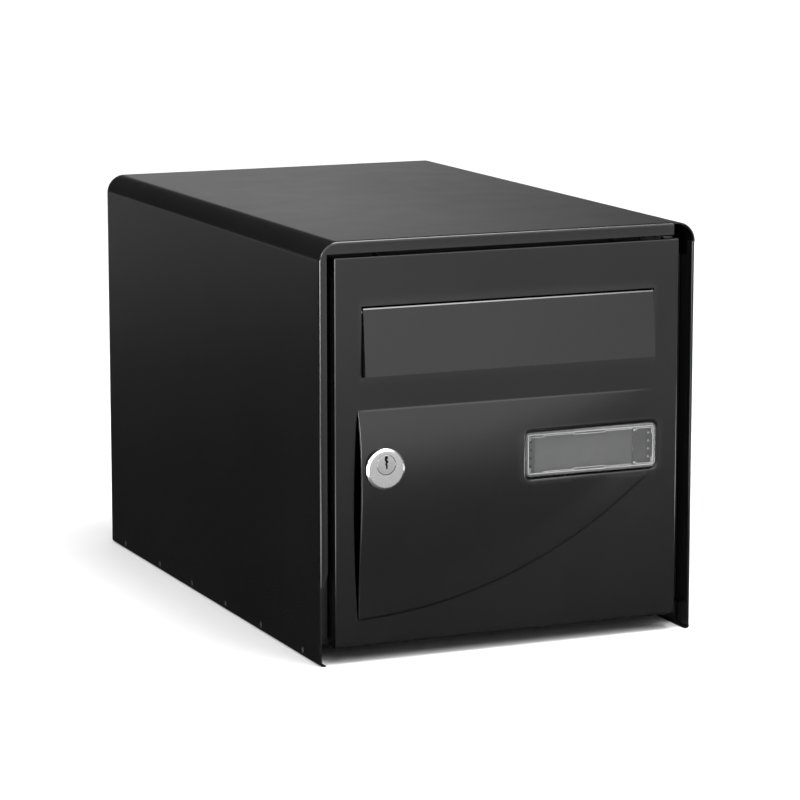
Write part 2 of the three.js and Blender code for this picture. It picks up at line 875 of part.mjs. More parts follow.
// ---- door hinge ----
const foldTop = door.foot + sheet;
const upperFold = doorTop - sheet;
add("lower_hinge_bracket", "zinc", lowerHingeBracket());
add("upper_hinge_bracket", "zinc", upperHingeBracket());
lowerBracketRivets().forEach(([x, y], i) => {
  const shape = plainRivet("z", floorTop - sheet, lowerPlate + bracket.thick, [x, y, 0]);
  add(`lower_bracket_rivet_${i + 1}`, "zinc", shape);
});
upperBracketRivets().forEach(([x, z], i) => {
  const shape = plainRivet("y", header.front - gap - sheet, header.front + sheet, [x, 0, z]);
  add(`upper_bracket_rivet_${i + 1}`, "zinc", shape);
});
add("lower_hinge_pin", "zinc", hingePin(1, door.foot, lowerPlate + bracket.thick + hinge.pinProud));
add("upper_hinge_pin", "zinc", hingePin(-1, doorTop, upperPlate - hinge.pinProud));
add("lower_hinge_bush", "nylon", hingeBush(1, foldTop, lowerPlate, lowerPlate + bracket.thick));
add("upper_hinge_bush", "nylon", hingeBush(-1, upperFold, upperPlate + bracket.thick, upperPlate));

// ---- door ----
add("door_panel", "paint", doorPanel());
add("slot_guard", "paint", slotGuard());
add("flap_bracket_left", "zinc", flapBracket(-1));
add("flap_bracket_right", "zinc", flapBracket(1));
add("flap_rod", "zinc", flapRod());
add("nameplate_base", "grey", plateLayer(plateStack.wall + gap, baseFront, baseBack));
add("name_card", "grey", plateLayer(plateStack.wall + gap, cardFront, cardBack));
add("nameplate_cover", "clear", plateCover());
add("lock_body", "chrome", lockBody());
add("lock_nut", "zinc", lockNut());

// ---- letter flap and lock, which move on the door ----
add("letter_flap", "paint", letterFlap());
add("lock_plug", "chrome", lockPlug());
add("lock_cam", "zinc", lockCam());
add("cam_screw", "zinc", camScrewSolid());

// The lock's rosette is the foremost point, so half of the whole depth lies behind this line.
assembly.position.y = -(box.depth + rosetteFront) / 2;

export default assembly;
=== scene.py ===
"""Looks for a lockable sheet-steel letterbox: black satin powder coat, a pressed door, a clear name plate
and a plated cam lock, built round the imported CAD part.

Geometry is worked out in millimetres in the case's own coordinates (x across, y back from the front rim,
z up) and turned into the frame's metres when a mesh is made.
"""

import math
from collections import namedtuple

import bmesh
import bpy
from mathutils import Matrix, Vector


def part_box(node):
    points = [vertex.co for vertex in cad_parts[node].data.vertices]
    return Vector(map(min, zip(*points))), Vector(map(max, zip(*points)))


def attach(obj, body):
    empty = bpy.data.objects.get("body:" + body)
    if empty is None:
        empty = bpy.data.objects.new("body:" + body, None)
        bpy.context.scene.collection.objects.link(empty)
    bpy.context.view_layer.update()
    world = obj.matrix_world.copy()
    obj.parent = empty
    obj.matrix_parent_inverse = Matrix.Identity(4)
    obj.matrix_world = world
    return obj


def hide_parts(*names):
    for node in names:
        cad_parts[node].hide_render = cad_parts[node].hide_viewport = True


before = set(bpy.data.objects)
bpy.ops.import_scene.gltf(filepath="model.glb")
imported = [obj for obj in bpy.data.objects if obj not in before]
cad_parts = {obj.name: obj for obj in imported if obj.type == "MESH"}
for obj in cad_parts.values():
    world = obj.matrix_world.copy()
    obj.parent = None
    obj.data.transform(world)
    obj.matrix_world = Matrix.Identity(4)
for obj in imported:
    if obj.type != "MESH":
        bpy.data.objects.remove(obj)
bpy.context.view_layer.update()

MM = 0.001
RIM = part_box("outer_shell")[0].y / MM  # the front rim's place along the frame's y


def extent(node):
    """A CAD node's lowest and highest corners in millimetres, with y from the front rim."""
    low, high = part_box(node)
    low = Vector((low.x / MM, low.y / MM - RIM, low.z / MM))
    high = Vector((high.x / MM, high.y / MM - RIM, high.z / MM))
    return low, high


# ---- sizes, in millimetres ----
SHEET = 1.0
GAP = 0.3
SHELL_HIGH = extent("outer_shell")[1]
WALL = round(SHELL_HIGH.x, 3)
HEIGHT = round(SHELL_HIGH.z, 3)
DEPTH = round(SHELL_HIGH.y, 3)
CORNER = 14.0
BEND = 2.2  # outside radius of a folded edge
CURL = 4.0
FOLD_SIDE = 5.5
FOLD_TOP = 8.5
FOLD_FOOT = 55.0
FOLD_CUT = 10.0
FOLD_END = WALL - CORNER - 2.5
REAR_FOLD = 14.0
HEM_DEPTH = 8.0
WALL_BOW = 0.7  # how far a side wall sags in at its middle
ROOF_BOW = 1.4 * WALL_BOW
SHELL_SHEET = 0.97
SHELL_BEND_STEPS = 6
CORNER_STEPS = 16
WALL_STEP = 9.0  # spacing of the shell's stations up the walls and across the roof
SHELL_STEP = 26.0  # spacing of its points from front to back
RIVET_HEIGHT = 4.7
RIVET_HOLE = 2.6
NEAR = 0.01  # closer than this counts as touching

DOOR_LOW, DOOR_HIGH = extent("door_panel")
DOOR_HALF = round(DOOR_HIGH.x, 2)
DOOR_FOOT = round(DOOR_LOW.z, 2)
DOOR_TOP = round(DOOR_HIGH.z, 2)
DOOR_FACE = 1.0
DOOR_DEEP = DOOR_HIGH.y - DOOR_FACE
DOOR_BEND = 1.3
HINGE_NOTCH = 12.4

SLOT_HALF = DOOR_HALF - 19.7
SLOT_TOP = DOOR_TOP - 34.0
SLOT_FOOT = SLOT_TOP - 48.8

SAIL_LEFT = -DOOR_HALF + 17.0
SAIL_RIGHT = DOOR_HALF - 17.0
SAIL_TOP = SLOT_FOOT - 22.4
SAIL_FOOT = DOOR_FOOT + 17.9
SAIL_RISE = 6.5
SAIL_LEAN = 1.5  # moves the raised field's fullest part above its middle
SAIL_SCOOP = 2.3
CURL_IN = 1.1  # radius to which both edges of the finger pull are rolled in
SAIL_LIP = 0.3  # step along the raised field's upper edge
SAIL_LIP_HIGH = 1.4
SAIL_STEP = 0.9  # crease along the raised field's curved lower edge
SAIL_STEP_HIGH = 1.8
ARC_X = SAIL_LEFT - 10.0
ARC_RISE = SAIL_TOP - 56.1 - SAIL_FOOT
ARC_RADIUS = ((SAIL_RIGHT - ARC_X) ** 2 + ARC_RISE**2) / (2 * ARC_RISE)

PLATE_LOW, PLATE_HIGH = extent("nameplate_cover")
PLATE_X = (PLATE_LOW.x + PLATE_HIGH.x) / 2
PLATE_Z = (PLATE_LOW.z + PLATE_HIGH.z) / 2
PLATE_HALF_W = (PLATE_HIGH.x - PLATE_LOW.x) / 2
PLATE_HALF_H = (PLATE_HIGH.z - PLATE_LOW.z) / 2
PLATE_CORNER = 3.5
POCKET_CLEAR = 0.7
POCKET_FLOOR = 3.0
POCKET_LIP = 2.0
POCKET_ROUND = 0.8
POCKET_SHEET = 0.9

LOCK_LOW, LOCK_HIGH = extent("lock_body")
LOCK_X = (LOCK_LOW.x + LOCK_HIGH.x) / 2
LOCK_Z = (LOCK_LOW.z + LOCK_HIGH.z) / 2
LOCK_FRONT = LOCK_LOW.y
LOCK_BACK = LOCK_FRONT + 4.0  # back of the round face
LOCK_RADIUS = (LOCK_HIGH.x - LOCK_LOW.x) / 2
BARREL_RADIUS = 9.5
SHAFT_HOLE = 5.3
SHAFT = 5.0
COLLAR = 1.7  # how far the lock's rim reaches back to meet the curved field
PLUG_LOW, PLUG_HIGH = extent("lock_plug")
PLUG_Z = (PLUG_LOW.z + PLUG_HIGH.z) / 2
PLUG_RADIUS = (PLUG_HIGH.x - PLUG_LOW.x) / 2


# ---- materials ----
MIX_SHARE, MIX_FIRST, MIX_SECOND = 0, 6, 7  # a Mix node's sockets when it mixes colours
MIX_COLOUR = 2  # its colour output


def nodes_of(name):
    """A new material with its node tree and principled shader."""
    material = bpy.data.materials.new(name)
    material.use_nodes = True
    tree = material.node_tree
    return material, tree, tree.nodes["Principled BSDF"]


def noise(tree, scale, detail=4.0, roughness=0.5):
    """Noise in object space; scale counts features per metre."""
    place = tree.nodes.new("ShaderNodeTexCoord")
    texture = tree.nodes.new("ShaderNodeTexNoise")
    texture.inputs["Scale"].default_value = scale
    texture.inputs["Detail"].default_value = detail
    texture.inputs["Roughness"].default_value = roughness
    tree.links.new(place.outputs["Object"], texture.inputs["Vector"])
    return texture.outputs["Fac"]


def ramp(tree, value, stops):
    """A colour ramp from (position, colour) stops."""
    node = tree.nodes.new("ShaderNodeValToRGB")
    elements = node.color_ramp.elements
    while len(elements) < len(stops):
        elements.new(0.5)
    for element, (position, colour) in zip(elements, stops):
        element.position = position
        element.color = (*colour, 1.0)
    tree.links.new(value, node.inputs["Fac"])
    return node.outputs["Color"]


def spread(tree, value, low, high, from_low=0.3, from_high=0.7):
    """Maps a value between two limits onto another range."""
    node = tree.nodes.new("ShaderNodeMapRange")
    node.inputs["From Min"].default_value = from_low
    node.inputs["From Max"].default_value = from_high
    node.inputs["To Min"].default_value = low
    node.inputs["To Max"].default_value = high
    tree.links.new(value, node.inputs["Value"])
    return node.outputs["Result"]


def mottled(tree, value, colour, darker, lighter, low, high):
    """A colour that varies between two shares of itself as a value goes from low to high."""
    dark = tuple(c * darker for c in colour)
    light = tuple(c * lighter for c in colour)
    return ramp(tree, value, [(low, dark), (high, light)])


def bump(tree, shader, value, strength, distance):
    """Roughens the surface by a height value; distance is in metres."""
    node = tree.nodes.new("ShaderNodeBump")
    node.inputs["Strength"].default_value = strength
    node.inputs["Distance"].default_value = distance
    tree.links.new(value, node.inputs["Height"])
    tree.links.new(node.outputs["Normal"], shader.inputs["Normal"])


def edge_wear(tree, shader, base, worn, amount):
    """Lightens the sharpest edges a little, where paint or plating rubs thin."""
    geometry = tree.nodes.new("ShaderNodeNewGeometry")
    edges = spread(tree, geometry.outputs["Pointiness"], 0.0, amount, 0.53, 0.62)
    mix = tree.nodes.new("ShaderNodeMix")
    mix.data_type = "RGBA"
    mix.inputs[MIX_SECOND].default_value = (*worn, 1.0)
    tree.links.new(edges, mix.inputs[MIX_SHARE])
    tree.links.new(base, mix.inputs[MIX_FIRST])
    tree.links.new(mix.outputs[MIX_COLOUR], shader.inputs["Base Color"])


def paint(name, tone=0.0042, rough=(0.15, 0.175)):
    """Black satin powder coat with a fine orange peel and faint dust."""
    material, tree, shader = nodes_of(name)
    cloud = noise(tree, scale=9.0, detail=5.0, roughness=0.6)
    dark = (tone * 0.85, tone * 0.85, tone * 0.88)
    light = (tone * 1.2, tone * 1.2, tone * 1.22)
    base = ramp(tree, cloud, [(0.35, dark), (0.68, light)])
    edge_wear(tree, shader, base, (0.03, 0.03, 0.031), 0.25)
    patches = noise(tree, scale=34.0, detail=5.0, roughness=0.6)
    tree.links.new(spread(tree, patches, *rough), shader.inputs["Roughness"])
    peel = noise(tree, scale=700.0, detail=2.0)
    bump(tree, shader, peel, strength=0.035, distance=0.0002)
    shader.inputs["Specular IOR Level"].default_value = 0.5
    return material


def plated(name, colour, rough, grain, strength):
    """Bright metal plating with fine grain and slight tarnish."""
    material, tree, shader = nodes_of(name)
    tarnish = noise(tree, scale=120.0, roughness=0.6)
    base = mottled(tree, tarnish, colour, 0.93, 1.0, 0.32, 0.66)
    edge_wear(tree, shader, base, tuple(min(1.0, c * 1.1) for c in colour), 0.5)
    shader.inputs["Metallic"].default_value = 1.0
    patches = noise(tree, scale=260.0, roughness=0.7)
    tree.links.new(spread(tree, patches, *rough), shader.inputs["Roughness"])
    bump(tree, shader, noise(tree, grain, detail=3.0, roughness=0.6), strength, distance=0.0001)
    return material


def moulded(name, colour, rough, grain=900.0, strength=0.15, specular=0.5):
    """Moulded plastic, rubber or card with a fine texture."""
    material, tree, shader = nodes_of(name)
    cloud = noise(tree, scale=60.0, detail=5.0, roughness=0.6)
    base = mottled(tree, cloud, colour, 0.86, 1.1, 0.3, 0.7)
    tree.links.new(base, shader.inputs["Base Color"])
    patches = noise(tree, scale=180.0, roughness=0.6)
    tree.links.new(spread(tree, patches, *rough), shader.inputs["Roughness"])
    bump(tree, shader, noise(tree, grain, roughness=0.6), strength, distance=0.0001)
    shader.inputs["Specular IOR Level"].default_value = specular
    return material


def clear_plastic(name, colour, alpha, ior, rough):
    """Moulded styrene, clear or made paler to paint in highlights, with a faint haze and moulding ripple.
    """
    material, tree, shader = nodes_of(name)
    haze = noise(tree, scale=45.0, roughness=0.6)
    base = mottled(tree, haze, colour, 0.9, 1.1, 0.3, 0.7)
    tree.links.new(base, shader.inputs["Base Color"])
    tree.links.new(spread(tree, noise(tree, scale=90.0, detail=3.0), *rough), shader.inputs["Roughness"])
    ripple = noise(tree, scale=160.0, detail=2.0)
    bump(tree, shader, ripple, strength=0.03, distance=0.0003)
    shader.inputs["Alpha"].default_value = alpha
    shader.inputs["IOR"].default_value = ior
    return material


PAINT = paint("black_powder_coat")
DOOR_PAINT = paint("black_door_coat", tone=0.0048, rough=(0.16, 0.19))
INNER_PAINT = paint("black_inner_coat", tone=0.004, rough=(0.3, 0.4))
ZINC = plated("zinc_plating", (0.55, 0.56, 0.57), (0.28, 0.42), 700.0, 0.2)
RIVET_PAINT = paint("painted_rivet_heads", tone=0.05, rough=(0.16, 0.2))
# Dark grey zinc for the hinge brackets, their rivets and the hinge pins: darkened to paint in the shade of
# the door gap where they sit
ZINC_DARKENED_AS_SHADE = plated("zinc_painted_shade", (0.10, 0.10, 0.105), (0.3, 0.42), 700.0, 0.2)
NICKEL = plated("satin_nickel", (0.70, 0.70, 0.70), (0.24, 0.28), 900.0, 0.03)
NICKEL_BRIGHT = plated("bright_nickel", (0.74, 0.74, 0.74), (0.16, 0.2), 900.0, 0.03)
CLEAR = clear_plastic("clear_styrene", (0.05, 0.05, 0.052), 0.25, 2.2, (0.05, 0.1))
# Pale, half-clear styrene for the cover's ridge, lines and dots: painted highlights of the light their
# edges catch
PALE_HIGHLIGHT_STYRENE = clear_plastic("styrene_painted_highlight", (0.55, 0.55, 0.56), 0.62, 1.8, (0.15, 0.22))
# Greyer and less clear than the pane: the cover's rim carries a painted highlight of the light ring round
# its rounded edge
RIM_HIGHLIGHT_STYRENE = clear_plastic("rim_styrene_painted_highlight", (0.17, 0.17, 0.175), 0.55, 1.8, (0.1, 0.16))
CARD = moulded("grey_label_card", (0.205, 0.206, 0.208), (0.55, 0.7), 700.0, 0.06, 0.3)
BASE_GREY = moulded("grey_plate_base", (0.12, 0.121, 0.123), (0.4, 0.55))
PIN_GREY = moulded("pale_moulding", (0.5, 0.5, 0.5), (0.3, 0.4))
# Near-black: the real dark studs on the plate base, and painted shade on the walls left by the lock's
# plug-groove and keyway cutters
DARK_MOULDING_AND_SHADE = moulded("dark_moulding_and_painted_shade", (0.012, 0.012, 0.012), (0.4, 0.5))
# The hinge bushes are white nylon; this near-black stands in for the shade of the door gap they sit in:
# painted shade
NYLON_DARKENED_AS_SHADE = moulded("nylon_painted_shade", (0.02, 0.02, 0.021), (0.4, 0.55))
RUBBER = moulded("black_rubber", (0.018, 0.018, 0.018), (0.75, 0.9), 700.0, 0.3)


# ---- mesh helpers ----
MERGE = 0.004  # points closer than this are one


def to_frame(x, y, z):
    """A place in millimetres from the rim as a vector in the frame's metres."""
    return Vector((x, y + RIM, z)) * MM


def mesh_object(name, points, faces, material):
    """A new object from points in millimetres and faces of point numbers."""
    mesh = bpy.data.meshes.new(name)
    mesh.from_pydata([to_frame(*p) for p in points], [], faces)
    mesh.validate()
    piece = bpy.data.objects.new(name, mesh)
    bpy.context.scene.collection.objects.link(piece)
    mesh.materials.append(material)
    return piece


def tidy(piece):
    """Merges coincident points and drops what collapsed."""
    work = bmesh.new()
    work.from_mesh(piece.data)
    bmesh.ops.remove_doubles(work, verts=work.verts, dist=MERGE * MM)
    bmesh.ops.dissolve_degenerate(work, edges=work.edges, dist=MERGE * MM)
    loose = [v for v in work.verts if not v.link_faces]
    bmesh.ops.delete(work, geom=loose, context="VERTS")
    work.to_mesh(piece.data)
    work.free()


def outward(piece):
    """Turns a closed mesh's faces to point out."""
    work = bmesh.new()
    work.from_mesh(piece.data)
    bmesh.ops.recalc_face_normals(work, faces=work.faces)
    work.to_mesh(piece.data)
    work.free()


def face_front(piece):
    """Turns a sheet's faces to the front, judged by those that lie across it."""
    total = 0.0
    for polygon in piece.data.polygons:
        if abs(polygon.normal.y) > 0.9:
            total -= polygon.normal.y * polygon.area
    if total < 0:
        piece.data.flip_normals()


def settle(piece):
    """Applies the piece's modifiers."""
    graph = bpy.context.evaluated_depsgraph_get()
    graph.update()
    made = bpy.data.meshes.new_from_object(piece.evaluated_get(graph))
    old = piece.data
    piece.modifiers.clear()
    piece.data = made
    made.name = piece.name
    bpy.data.meshes.remove(old)


def thicken(piece, thickness):
    """Gives a one-sided sheet its thickness, behind its face."""
    modifier = piece.modifiers.new("thickness", "SOLIDIFY")
    modifier.thickness = thickness * MM
    modifier.offset = -1
    modifier.use_even_offset = True
    settle(piece)


def ease(piece, width, angle):
    """Rounds the edges sharper than an angle."""
    modifier = piece.modifiers.new("eased", "BEVEL")
    modifier.width = width * MM
    modifier.segments = 2
    modifier.limit_method = "ANGLE"
    modifier.angle_limit = math.radians(angle)
    modifier.use_clamp_overlap = True
    modifier.harden_normals = False
    settle(piece)


def smooth(piece, angle=38):
    """Smooth shading that keeps flat faces flat and leaves corners over an angle sharp."""
    piece.data.shade_smooth()
    piece.data.set_sharp_from_angle(angle=math.radians(angle))
    modifier = piece.modifiers.new("flat_faces", "WEIGHTED_NORMAL")
    modifier.mode = "FACE_AREA"
    modifier.weight = 50
    modifier.keep_sharp = True
    settle(piece)


def subtract(piece, *tools):
    """Cuts closed tool objects from a piece and removes them."""
    for tool in tools:
        outward(tool)
        modifier = piece.modifiers.new("cut", "BOOLEAN")
        modifier.operation = "DIFFERENCE"
        modifier.solver = "EXACT"
        modifier.material_mode = "TRANSFER"
        modifier.object = tool
    settle(piece)
    for tool in tools:
        bpy.data.objects.remove(tool)


def merged(name, pieces):
    """One object from several, each keeping its own materials."""
    work = bmesh.new()
    materials = []
    for piece in pieces:
        start = len(work.faces)
        work.from_mesh(piece.data)
        work.faces.ensure_lookup_table()
        slots = []
        for material in piece.data.materials:
            if material not in materials:
                materials.append(material)
            slots.append(materials.index(material))
        for face in work.faces[start:]:
            face.material_index = slots[face.material_index] if slots else 0
    mesh = bpy.data.meshes.new(name)
    work.to_mesh(mesh)
    work.free()
    for material in materials:
        mesh.materials.append(material)
    whole = bpy.data.objects.new(name, mesh)
    bpy.context.scene.collection.objects.link(whole)
    for piece in pieces:
        bpy.data.objects.remove(piece)
    return whole


def place(piece, body, slot, node):
    """Sets what the piece rides on and hides the CAD node it stands for; slot is not used."""
    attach(piece, body)
    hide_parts(node)


def loft(name, loops, material, cap_first=False, cap_last=False):
    """Skins a list of point loops that all have the same number of points."""
    count = len(loops[0])
    points = [p for loop in loops for p in loop]
    faces = []
    for k in range(len(loops) - 1):
        for i in range(count):
            j = (i + 1) % count
            faces.append((k * count + i, k * count + j, (k + 1) * count + j, (k + 1) * count + i))
    if cap_first:
        faces.append(tuple(reversed(range(count))))
    if cap_last:
        faces.append(tuple((len(loops) - 1) * count + i for i in range(count)))
    return mesh_object(name, points, faces, material)


def rod(radius, first, last):
    """A turned profile for a plain rod."""
    return [(0, first), (radius, first), (radius, last), (0, last)]


def turned(name, axis, profile, at, material, segments=48):
    """A turned piece from (radius, place along the axis) points; its ends are closed on the axis."""
    loops = []
    for radius, along in profile:
        loop = []
        for i in range(segments):
            angle = 2 * math.pi * i / segments
            a, b = radius * math.cos(angle), radius * math.sin(angle)
            spot = {"x": (along, a, b), "y": (a, along, b), "z": (a, b, along)}[axis]
            loop.append(tuple(p + q for p, q in zip(spot, at)))
        loops.append(loop)
    piece = loft(name, loops, material)
    tidy(piece)
    outward(piece)
    return piece


def eased_profile(profile, width):
    """A turned profile with its corners cut back and rounded; end points on the axis stay."""
    out = [profile[0]]
    for before, corner, after in zip(profile, profile[1:], profile[2:]):
        legs = []
        for other in (before, after):
            dx, dy = other[0] - corner[0], other[1] - corner[1]
            length = math.hypot(dx, dy)
            reach = min(width, 0.45 * length)
            legs.append((corner[0] + dx / length * reach, corner[1] + dy / length * reach))
        for step in range(4):
            t = step / 3
            u = 1 - t
            out.append(
                tuple(u * u * legs[0][k] + 2 * u * t * corner[k] + t * t * legs[1][k] for k in range(2))
            )
    out.append(profile[-1])
    return out


def refined(node, material, body, slot, width):
    """A CAD node's own shape with its flat faces made whole and its edges rounded."""
    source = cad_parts[node]
    mesh = source.data.copy()
    piece = bpy.data.objects.new(node + "_skin", mesh)
    bpy.context.scene.collection.objects.link(piece)
    mesh.materials.clear()
    mesh.materials.append(material)
    work = bmesh.new()
    work.from_mesh(mesh)
    bmesh.ops.remove_doubles(work, verts=work.verts, dist=MERGE / 2 * MM)
    flat = math.radians(0.5)
    bmesh.ops.dissolve_limit(work, angle_limit=flat, verts=work.verts, edges=work.edges, delimit=set())
    for face in work.faces:
        face.material_index = 0
    work.to_mesh(mesh)
    work.free()
    ease(piece, width, 30)
    smooth(piece, 40)
    place(piece, body, slot, node)


def stations(low, high, step, *extra):
    """Evenly spaced values from low to high with the extra ones added."""
    count = max(1, round((high - low) / step))
    values = {round(low + (high - low) * i / count, 4) for i in range(count + 1)}
    values |= {round(v, 4) for v in extra if low <= v <= high}
    ordered = sorted(values)
    kept = [ordered[0]]
    for value in ordered[1:]:
        if value - kept[-1] > 0.15 or value in [round(v, 4) for v in extra] or value == ordered[-1]:
            kept.append(value)
    return kept


def rounded_outline(half_w, half_h, radius, centre_x, centre_z):
    """Points round a rounded rectangle with their outward directions."""
    straight, steps = 4.0, 8  # spacing along a side, and steps round a corner
    out = []
    corners = [(1, 1, 0), (-1, 1, 90), (-1, -1, 180), (1, -1, 270)]
    for number, (sx, sz, start) in enumerate(corners):
        cx = centre_x + sx * (half_w - radius)
        cz = centre_z + sz * (half_h - radius)
        for i in range(steps + 1):
            angle = math.radians(start + 90 * i / steps)
            nx, nz = math.cos(angle), math.sin(angle)
            out.append((cx + radius * nx, cz + radius * nz, nx, nz))
        following = corners[(number + 1) % 4]
        ex = centre_x + following[0] * (half_w - radius)
        ez = centre_z + following[1] * (half_h - radius)
        angle = math.radians(start + 90)
        nx, nz = math.cos(angle), math.sin(angle)
        from_x, from_z = cx + radius * nx, cz + radius * nz
        to_x, to_z = ex + radius * nx, ez + radius * nz
        count = max(1, int(math.hypot(to_x - from_x, to_z - from_z) / straight))
        for i in range(1, count):
            t = i / count
            out.append((from_x + (to_x - from_x) * t, from_z + (to_z - from_z) * t, nx, nz))
    return out


def box_piece(name, x0, x1, y0, y1, z0, z1, material):
    """A small box, as a cutter or as a bar to be eased."""
    points = [(x, y, z) for x in (x0, x1) for y in (y0, y1) for z in (z0, z1)]
    faces = [(0, 1, 3, 2), (4, 6, 7, 5), (0, 4, 5, 1), (2, 3, 7, 6), (0, 2, 6, 4), (1, 5, 7, 3)]
    piece = mesh_object(name, points, faces, material)
    outward(piece)
    return piece

# ---- outer shell ----
Station = namedtuple("Station", "x z nx nz fold")


def foot_stations(side):
    """The folded foot of one side wall: its lip, and its bend up to the wall."""
    steps = 5
    found = [Station(side * (WALL - CURL), 0.0, 0.0, 1.0, 0.0)]
    for i in range(steps + 1):
        angle = math.radians(90 * i / steps)
        nx, nz = -side * math.sin(angle), math.cos(angle)
        found.append(Station(side * (WALL - BEND) - nx * BEND, BEND - nz * BEND, nx, nz, 0.0))
    return found


def left_fold(z):
    """Width of the left wall's front fold, which starts above the foot."""
    if z <= FOLD_FOOT:
        return 0.0
    return max(BEND, FOLD_SIDE * min(1.0, (z - FOLD_FOOT) / FOLD_CUT))


def left_corner():
    """The round corner above the left wall, with a station where the wall's fold meets the roof's."""
    angles = [180 - 90 * i / CORNER_STEPS for i in range(1, CORNER_STEPS + 1)]
    angles.append(math.degrees(math.atan2(CORNER - FOLD_TOP, -(CORNER - FOLD_SIDE))))
    found = []
    for angle in sorted(angles, reverse=True):
        c, s = math.cos(math.radians(angle)), math.sin(math.radians(angle))
        reach = min((CORNER - FOLD_SIDE) / max(-c, 1e-6), (CORNER - FOLD_TOP) / max(s, 1e-6))
        x, z = -WALL + CORNER + CORNER * c, HEIGHT - CORNER + CORNER * s
        found.append(Station(x, z, -c, -s, CORNER - reach))
    return found


def right_corner():
    """The round corner above the right wall, which has no fold."""
    found = []
    for i in range(1, CORNER_STEPS + 1):
        angle = math.radians(90 - 90 * i / CORNER_STEPS)
        c, s = math.cos(angle), math.sin(angle)
        found.append(Station(WALL - CORNER + CORNER * c, HEIGHT - CORNER + CORNER * s, -c, -s, 0.0))
    return found


def shell_path():
    """Stations round the shell from foot to foot: x, z, inward direction and front fold width."""
    above_rivets = 8.0
    levels = stations(BEND, HEIGHT - CORNER, WALL_STEP, FOLD_FOOT, FOLD_FOOT + FOLD_CUT, above_rivets)
    roof = stations(-WALL + CORNER, WALL - CORNER, WALL_STEP, FOLD_END)
    path = foot_stations(-1)
    path += [Station(-WALL, z, 1.0, 0.0, left_fold(z)) for z in levels[1:]]
    path += left_corner()
    path += [Station(x, HEIGHT, 0.0, -1.0, FOLD_TOP if x <= FOLD_END else 0.0) for x in roof[1:]]
    path += right_corner()
    path += [Station(WALL, z, -1.0, 0.0, 0.0) for z in reversed(levels[:-1])]
    path += list(reversed(foot_stations(1)))[1:]
    return path


def bow(x, y, z):
    """Inward sag of the walls and roof at a place: nothing at the edges that other panels meet."""
    along = math.sin(math.pi * min(max(y / DEPTH, 0.0), 1.0))
    if abs(x) > WALL - NEAR:
        return WALL_BOW * along * math.sin(math.pi * z / HEIGHT) ** 2
    if z > HEIGHT - NEAR:
        return ROOF_BOW * along * math.cos(math.pi * x / (2 * (WALL - CORNER))) ** 2
    return 0.0


class Sheet:
    """The shell's outside face, made of cross-sections from front to back and faces between them."""

    def __init__(self):
        self.points = []
        self.faces = []

    def section(self, station, profile):
        """Adds a cross-section of (set in, back from the rim) points and returns their numbers."""
        x, z, nx, nz, _ = station
        first = len(self.points)
        for inset, y in profile:
            inset += bow(x, y, z)
            self.points.append((x + nx * inset, y, z + nz * inset))
        return list(range(first, len(self.points)))

    def skin(self, here, there):
        """Joins two neighbouring cross-sections."""
        for k in range(len(here) - 1):
            self.faces.append((here[k], there[k], there[k + 1], here[k + 1]))


def fold_bend():
    """The round of a folded edge, from the fold towards the wall."""
    angles = [math.radians(90 * i / SHELL_BEND_STEPS) for i in range(SHELL_BEND_STEPS)]
    return [(BEND - BEND * math.sin(a), BEND - BEND * math.cos(a)) for a in angles]


def hem():
    """The right wall's doubled-back front edge, from its inner end round to the wall."""
    inner = [(2 * SHEET, y) for y in (HEM_DEPTH, 5.0, 2.5, 1.0)]
    angles = [math.radians(a) for a in range(20, 181, 20)]
    return inner + [(SHEET + SHEET * math.cos(a), SHEET - SHEET * math.sin(a)) for a in angles]


def shell_sheet():
    """The walls and roof with their front edges and the rear flange."""
    path = shell_path()
    sheet = Sheet()
    wall = [(0.0, y) for y in stations(BEND, DEPTH - BEND, SHELL_STEP)]
    main = [sheet.section(s, wall) for s in path]
    for here, there in zip(main, main[1:]):
        sheet.skin(here, there)
    plain = [sheet.section(s, [(0.0, 0.0)]) + row[:1] for s, row in zip(path, main)]
    folded = [sheet.section(s, [(s.fold, 0.0), *fold_bend()]) + row[:1] for s, row in zip(path, main)]
    hemmed = [sheet.section(s, hem()) + row[:1] for s, row in zip(path, main)]
    flange = [(inset, DEPTH - y) for inset, y in reversed(fold_bend())] + [(REAR_FOLD, DEPTH)]
    rear = [row[-1:] + sheet.section(s, flange) for s, row in zip(path, main)]
    for k, (here, there) in enumerate(zip(path, path[1:])):
        front = plain
        if here.fold > 0 and there.fold > 0:
            front = folded
        elif min(here.x, there.x) > WALL - NEAR:
            front = hemmed
        sheet.skin(front[k], front[k + 1])
        if max(here.nz, there.nz) < NEAR:  # the feet have no rear flange
            sheet.skin(rear[k], rear[k + 1])
    return sheet


def floor_rivet_nodes():
    """The rivets along the foot of both side walls, and the side that each is on."""
    nodes = sorted(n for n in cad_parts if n.startswith("floor_rivet_"))
    return [(node, 1 if extent(node)[1].x > 0 else -1) for node in nodes]


def rivet_holes():
    """Cutters for the rivets' holes in the side walls."""
    holes = []
    for node, side in floor_rivet_nodes():
        low, high = extent(node)
        at = (0, (low.y + high.y) / 2, RIVET_HEIGHT)
        profile = rod(RIVET_HOLE, side * (WALL - 3), side * (WALL + 3))
        holes.append(turned("hole", "x", profile, at, PAINT, 24))
    return merged("rivet_holes", holes)


def outer_shell():
    """The wrapped sheet: both side walls, the roof, the feet and the folded edges."""
    sheet = shell_sheet()
    shell = mesh_object("outer_shell_skin", sheet.points, sheet.faces, PAINT)
    tidy(shell)
    thicken(shell, SHELL_SHEET)
    subtract(shell, rivet_holes())
    smooth(shell, 30)
    place(shell, "case", "paint", "outer_shell")


# ---- door ----
SAIL_FADE = 1.5
LIP_FADE = (6.0, 30.0)  # where the lip's step dies away, down from the field's top
STEP_FADE = (5.0, 30.0)  # where the crease's step dies away, up from the field's lower edge


